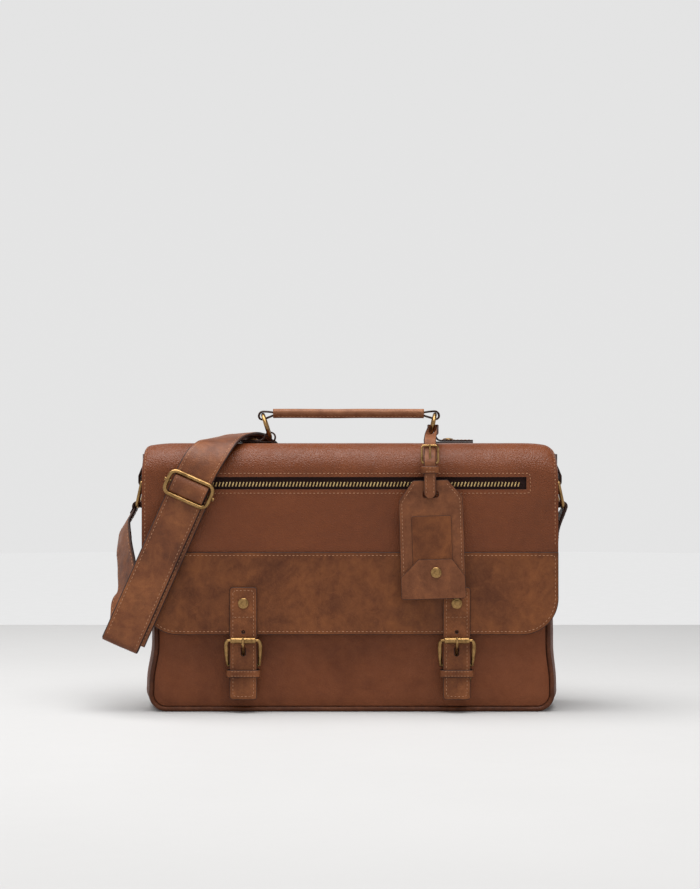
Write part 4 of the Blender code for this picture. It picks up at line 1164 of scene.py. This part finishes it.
def tag_layer(node, loops, face, thick, mat, puff=0.0, step=3.0):
    """One leather layer of the tag. puff makes it stand out in the middle."""
    def shape(u, up, rim):
        return tag_point(u, up, face - puff * ease(rim, 1.0, 12.0) + 0.12 * wave(u, 0.0, up, 20.0, face))
    obj = layer(node + "_leather", loops, shape, thick, [mat, EDGE], step=step, bevel=0.35)
    return dress(obj, "tag", "leather_tag", node)


tag_top = [(-31.2, -20.0), (-31.6, -116.0), (31.6, -116.0), (31.2, -17.0), (17.0, 0.0), (-17.0, 0.0)]
slot = oblong(-7.5, 7.5, -16.8, -10.6, 1.5, 4)
tag_layer("tag_back", [rounded(tag_top, 3.0, 5), slot], -71.2, 1.2, TAGGED)
tag_layer("tag_front", [rounded(tag_top, 3.0, 5), slot], TAG_FACE, 1.2, TAGGED)
flat = oblong(-19.5, 19.5, -88.0, -34.6, [6.0, 6.0, 2.0, 2.0], 5)
tag_layer("tag_tongue", [flat], -74.1, 0.8, OVERLAY, 0.15)
pocket = [(-31.4, -94.0), (-31.6, -115.6), (31.6, -115.6), (31.2, -94.0), (19.0, -77.0), (-14.0, -77.0)]
tag_layer("tag_pocket", [rounded(pocket, 2.5, 5)], -75.8, 1.1, TAGGED, 0.1)
obj = turned("tag_snap_brass", RIVET, tag_point(3.0, -90.0, -76.2), (0, -1, 0), BRASS)
dress(obj, "tag", "antique_brass", "tag_snap")
inner = [(-28.4, -93.0), (-28.4, -21.0), (-15.6, -3.0), (15.6, -3.0), (28.4, -18.4), (28.6, -93.0)]
run = [(tag_point(u, up, TAG_FACE), TO_FRONT) for u, up in inner]
stitches("tag_stitches", [run[:3], run[3:]], "tag", 0.5, 3.7)

TAG_LOOP = [
    (78.4, -66.6, 262.6, 1, 0, 0, 11.7), (78.6, -62.5, 268.5, 1, 0, 0, 11.7), (79.6, -54.0, 272.2, 1, 0, 0, 11.5),
    (83.0, -36.0, 274.2, 0.8, 0, 0.6, 10.0), (87.4, -22.0, 277.5, 0.1, 0, 1, 8.4),
    (88.3, -12.0, 279.6, 0, 0, 1, 8.0), (87.3, -8.0, 279.7, 0, 0, 1, 8.0), (83.4, -5.9, 279.7, 0, 0, 1, 8.0),
    (79.4, -8.0, 279.7, 0, 0, 1, 8.0), (78.4, -12.0, 279.6, 0, 0, 1, 8.0), (78.4, -22.0, 277.5, -0.1, 0, 1, 8.4),
    (78.6, -36.0, 270.6, -0.97, 0, 0.24, 10.0), (78.4, -50.0, 268.0, -1, 0, 0, 11.5),
    (78.3, -58.0, 266.0, -1, 0, 0, 11.7), (78.2, -63.0, 262.8, -1, 0, 0, 11.7)]


def stations(keys, steps):
    """Band stations from keys of (x, y, z, width direction x, y, z, width)."""
    return [(k[:3], k[3:6], k[6]) for k in smooth(keys, steps)]


loop = stations(TAG_LOOP, 8)
obj = band("tag_strap_loop_leather", loop, 1.4, [TAGGED, EDGE], across=6)
dress(obj, "flap", "leather_tag", "tag_strap_loop")
LEG_X, LEG_Y, LEG_LOW, LEG_W = 77.8, -77.6, 211.2, 11.7
front_leg = [(78.3, -67.7, 260.6), (78.2, -70.2, 256.0), (78.0, -74.6, 250.5), (77.9, -77.2, 245.5)]
front_leg += [(LEG_X, LEG_Y, z) for z in (240.0, 234.0, 228.0, 222.0, 216.0, LEG_LOW)]
leg = stations([(*p, 1, 0, 0, LEG_W) for p in front_leg], 5)
obj = band("tag_strap_front_leather", leg, 1.4, [TAGGED, EDGE], across=6)
for k, (c, w, width) in enumerate(leg):
    rest = LEG_LOW + LEG_W / 2 - c[2]      # the leg's end is a half round
    if rest > 0:
        share = math.sqrt(max(1 - (rest / (LEG_W / 2)) ** 2, 0.03))
        ring = len(obj.data.vertices) // len(leg)
        for v in obj.data.vertices[k * ring:(k + 1) * ring]:
            v.co.x = c[0] * MM + (v.co.x - c[0] * MM) * share
dress(obj, "tag", "leather_tag", "tag_strap_front")
rows = [[((LEG_X + s * 3.7, LEG_Y - 0.7, z), TO_FRONT) for z in (234.0, 224.0, 215.5)] for s in (-1, 1)]
stitches("tag_strap_stitches", rows, "tag", 0.42, 3.5)
back_leg = [
    (78.1, -64.2, 260.8), (78.1, -66.6, 254.0), (78.2, -68.6, 244.0), (78.3, -68.7, 234.5), (78.3, -68.7, 225.0),
    (78.4, -68.8, 217.4), (78.5, -70.6, 214.9), (78.5, -73.6, 214.9), (78.5, -74.8, 217.6), (78.4, -74.9, 224.0),
    (78.4, -74.9, 231.0), (78.2, -74.6, 238.0), (78.1, -74.4, 241.6)]
leg = stations([(*p, 1, 0, 0, 11.0) for p in back_leg], 5)
obj = band("tag_strap_back_leather", leg, 1.4, [TAGGED, EDGE], across=6)
dress(obj, "tag", "leather_tag", "tag_strap_back")
BAR_X, BAR_Y, BAR_Z = 78.0, -73.6, 245.4      # middle of the tag buckle's lower bar
BUCKLE_LEAN = 4.4 / 17.2
loop = [(BAR_X + u, BAR_Y + v * BUCKLE_LEAN, BAR_Z + v)
        for u, v in split(oblong(-7.9, 7.9, 17.2, 0.0, 2.6, 8), 2.0)]
dress(wire("tag_buckle_brass", loop, 1.1, BRASS, True), "tag", "antique_brass", "tag_buckle")
pin = [(BAR_X, y, z, 0.6) for y, z in arc(BAR_Y, BAR_Z, 1.95, 60, -180, 14)]
pin += [(BAR_X, -74.7, 247.0, 0.7), (BAR_X, -75.0, 249.2, 0.8), (BAR_X, -75.4, 253.0, 0.9),
        (BAR_X, -73.4, 259.0, 0.9), (BAR_X, -71.7, 263.6, 0.75)]
obj = tapered_wire("tag_prong_brass", pin, 3, BRASS)
dress(obj, "tag", "antique_brass", "tag_prong")
keeper("tag_keeper", 77.9, 8.0, -79.1, -72.0, 239.0, 7.0, 1.0, "tag", "leather_tag", "tag_keeper")

# ---- shoulder strap ----
SHOULDER_W = 38.0
SHOULDER_T = 2.8
SLIDER_X, SLIDER_Z = -157.0, 220.0
TILT = math.radians(24.0)
ALONG = (math.sin(TILT), math.cos(TILT))
ACROSS = (math.cos(TILT), 0.0, -math.sin(TILT))
FRONT_Y, UNDER_Y, LOOP_Y = -72.9, -69.4, -65.9
FOLD_S = -163.0        # the strap doubles back here, measured down from the slider
SHOULDER_INSET = 3.6


def along(s, y, side=0.0):
    """A point s along the strap's centre line on the front, and side across it."""
    return (SLIDER_X + ALONG[0] * s + ACROSS[0] * side, y, SLIDER_Z + ALONG[1] * s + ACROSS[2] * side)


def strap(name, path, thick, ride_on, node, faces=(1,), trim=(0, 0), caps=(True, True)):
    """A length of the shoulder strap, stitched along both edges on the faces that are given."""
    obj = band(name + "_leather", path, thick, [SHOULDER, EDGE], crown=0.3, across=12, ripple=0.18, caps=caps)
    if node:
        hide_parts(node)
    made = [obj]
    part = path[trim[0]:len(path) - trim[1]]
    for face in faces:
        for k, row in enumerate(edge_rows(part, thick + 0.15, SHOULDER_INSET, face)):
            made.append(stitches(f"{name}_stitches_{'upper' if face > 0 else 'lower'}_{k}", [row], None))
    for piece in made:
        if isinstance(ride_on, str):
            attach(piece, ride_on)
        else:
            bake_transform(piece)
    return obj


def shoulder_front():
    """Up the front from the fold, through the slider and over the top of the flap."""
    fold_r = (LOOP_Y - FRONT_Y) / 2
    middle = (LOOP_Y + FRONT_Y) / 2
    run = [along(FOLD_S + 8.0 - 2.0 * k, LOOP_Y) for k in range(4)]
    for k in range(0, 181, 15):
        a = math.radians(180 - k)
        run.append(along(FOLD_S - fold_r * math.sin(a), middle - fold_r * math.cos(a)))
    run += [along(s, FRONT_Y) for s in np.linspace(FOLD_S + 3.0, 12.0, 58)]
    path = [(p, ACROSS, SHOULDER_W) for p in run]
    over = [
        (*along(16.0, FRONT_Y), *ACROSS), (-145.0, -70.6, 245.0, 0.93, -0.02, -0.36),
        (-138.0, -63.8, 255.5, 0.95, -0.12, -0.26), (-130.0, -52.0, 264.6, 0.96, -0.22, -0.06),
        (-122.5, -34.0, 269.6, 0.96, -0.25, 0.08), (-115.5, -12.0, 272.0, 0.96, -0.25, 0.11),
        (-110.0, 10.0, 273.4, 0.97, -0.25, 0.08), (-105.0, 28.0, 273.4, 0.96, -0.27, 0.03)]
    path += stations([(*key, SHOULDER_W) for key in over], 8)
    return path


strap("shoulder_strap_front", shoulder_front(), SHOULDER_T, "flap", "shoulder_strap_front", (1, -1), (8, 0))
under = [(along(s, UNDER_Y, 5.0), ACROSS, SHOULDER_W - 2.0) for s in np.linspace(FOLD_S + 4.0, -4.0, 50)]
place = [tuple(c * MM for c in along(s, UNDER_Y)) for s in (FOLD_S + 4.0, -4.0)]
strap("shoulder_strap_under", under, 2.4, ("flap", "strap_slider", *place), "shoulder_strap_under")
RING_END = 25.0
END_X = DRING_X + RING_END * math.sin(math.radians(DRING_TILT))
END_Z = DRING_Z - RING_END * math.cos(math.radians(DRING_TILT))


def ring_wrap(s, start):
    """The end of the strap, folded round the bottom of a D ring."""
    turn = arc(END_X, END_Z, 3.9, start, 200, 16)
    return [((s * x, 0, z), (0, s, 0), 34.0) for x, z in turn]


LEFT_KEYS = [
    (*along(FOLD_S + 10.5, LOOP_Y), *ACROSS, SHOULDER_W),
    (*along(FOLD_S + 17.0, LOOP_Y + 1.2, -0.8), 0.9, -0.14, -0.41, SHOULDER_W),
    (-221.0, -57.5, 106.0, 0.70, -0.60, -0.38, 35.6), (-219.0, -50.5, 122.0, 0.56, -0.82, -0.1, SHOULDER_W),
    (-221.5, -40.0, 143.0, 0.5, -0.86, 0.0, SHOULDER_W), (-225.5, -27.0, 164.0, 0.4, -0.92, 0.0, SHOULDER_W),
    (-226.0, -13.0, 180.0, 0.2, -0.98, 0, 37.0), (-220.4, -0.4, 192.4, 0, -1, 0, 34.5)]
left = [(along(FOLD_S + s, LOOP_Y), ACROSS, SHOULDER_W) for s in (8.3, 9.2)] + stations(LEFT_KEYS, 8)
cut = 2 + 8 * 5         # where the loop's two lengths of leather overlap by one station
strap("shoulder_strap_left_loop", left[:cut + 1], SHOULDER_T,
      ("body", "flap", (-0.2255, -0.027, 0.160), (-0.217, -0.055, 0.100)),
      "shoulder_strap_left_loop", (1, -1), (2, 0), (True, False))
strap("shoulder_strap_left_end", left[cut - 1:] + ring_wrap(-1, -30), SHOULDER_T,
      ("body", "dring_left", (-0.2255, -0.027, 0.167), (-0.2204, 0.0, 0.192)),
      "shoulder_strap_left_loop", (1, -1), (1, 14), (False, True))
BACK_KEYS = [
    (-104.9, 28.4, 273.4, 0.96, -0.27, 0.03), (-100.5, 43.0, 271.6, 0.95, -0.29, 0.0),
    (-95.5, 56.5, 266.5, 0.95, -0.28, -0.1), (-89.0, 63.5, 252.0, 0.93, -0.1, 0.3),
    (-78.0, 66.5, 232.0, 0.87, 0, 0.48), (-45.0, 68.0, 182.0, 0.8, 0, 0.6), (10.0, 68.5, 138.0, 0.55, 0, 0.84),
    (75.0, 68.0, 118.0, 0.15, 0, 1), (135.0, 67.0, 118.0, -0.2, 0, 1), (174.0, 64.5, 129.0, -0.38, 0.15, 0.9),
    (195.0, 56.0, 142.0, -0.38, 0.5, 0.8), (205.5, 38.0, 155.0, -0.22, 0.75, 0.62),
    (208.5, 20.0, 169.0, -0.06, 0.9, 0.4)]
BACK_TIP = [(210.5, 6.0, 183.0, 0, 1, 0.15, 36.0), (214.5, 0.3, 194.0, 0, 1, 0, 34.5)]
right = stations([(*key, SHOULDER_W) for key in BACK_KEYS] + BACK_TIP, 10)
cut = 10 * 10
strap("shoulder_strap_back_run", right[:cut + 1], SHOULDER_T,
      ("body", "flap", (-0.095, 0.062, 0.250), (-0.1049, 0.030, 0.272)),
      "shoulder_strap_back_run", (1, -1), (1, 0), (True, False))
strap("shoulder_strap_back_end", right[cut - 1:] + ring_wrap(1, -20), SHOULDER_T,
      ("body", "dring_right", (0.195, 0.056, 0.142), (0.2145, 0.0003, 0.190)),
      "shoulder_strap_back_run", (1, -1), (1, 14), (False, True))

# slider: a wire frame in front of the strap and a bar behind it
GAP = 0.3
RIM_R, BAR_R = 2.0, 1.3
RIM_Y = FRONT_Y - SHOULDER_T / 2 - GAP - RIM_R
rim = split(oblong(-22.5, 22.5, -11.6, 11.6, 6.4, 10), 3.0)
obj = wire("strap_slider_frame_brass", [along(v, RIM_Y, u) for u, v in rim], RIM_R, BRASS, True, 6)
dress(obj, "strap_slider", "antique_brass", "strap_slider_frame")
bar_y = FRONT_Y + SHOULDER_T / 2 + GAP + BAR_R
knob = [(-26.2, 1.7), (-24.8, 2.0), (-23.2, BAR_R)]      # place along the bar and radius
bar = knob + [(0.0, 1.2)] + [(-u, r) for u, r in knob[::-1]]
obj = wire("strap_slider_bar_brass", [along(0, bar_y, u) for u, r in bar], [r for u, r in bar], BRASS)
dress(obj, "strap_slider", "antique_brass", "strap_slider_bar")
fold = []
for k in range(25):
    t = k / 12 - 1
    fold.append((along(9.0 * t, -74.6 - 4.4 * math.sqrt(1.0001 - t * t)), ACROSS, 36.0))
obj = band("slider_fold_leather", fold, 1.6, [SHOULDER, EDGE], crown=0.2, across=10)
dress(obj, "strap_slider", "leather_shoulder")
for k, row in enumerate(edge_rows(fold, 1.6, 3.0, 1)):
    stitches(f"slider_fold_stitches_{k}", [row], "strap_slider", 0.55, 3.7)


# ---- floor, wall and light ----
def backdrop(radius=3.0, height=2.0, sides=96):
    """A round pale studio: a floor disc and a wall all the way round, so that every view has a backdrop."""
    rim = [(radius * math.cos(2 * math.pi * k / sides) / MM, radius * math.sin(2 * math.pi * k / sides) / MM)
           for k in range(sides)]
    build("floor", [(x, y, 0.0) for x, y in rim], [tuple(range(sides))], [FLOOR])
    verts = [(x, y, z) for z in (0.0, height / MM) for x, y in rim]
    faces = [(k, sides + k, sides + (k + 1) % sides, (k + 1) % sides) for k in range(sides)]
    build("wall", verts, faces, [WALL])


def area_light(name, place, aim, size, power, tint=(1.0, 1.0, 1.0)):
    light = bpy.data.lights.new(name, "AREA")
    light.shape = "RECTANGLE"
    light.size, light.size_y = size
    light.energy = power
    light.color = tint
    obj = bpy.data.objects.new(name, light)
    obj.location = place
    obj.rotation_euler = (Vector(aim) - Vector(place)).to_track_quat("-Z", "Y").to_euler()
    scene.collection.objects.link(obj)


backdrop()
area_light("key_above", (-0.2, -0.3, 1.9), (0, 0, 0.15), (2.4, 1.3), 70.0, (1.0, 0.99, 0.98))
world = bpy.data.worlds.new("studio")
world.use_nodes = True
world.node_tree.nodes["Background"].inputs["Color"].default_value = (1.0, 1.0, 1.0, 1.0)
world.node_tree.nodes["Background"].inputs["Strength"].default_value = 0.05
scene.world = world
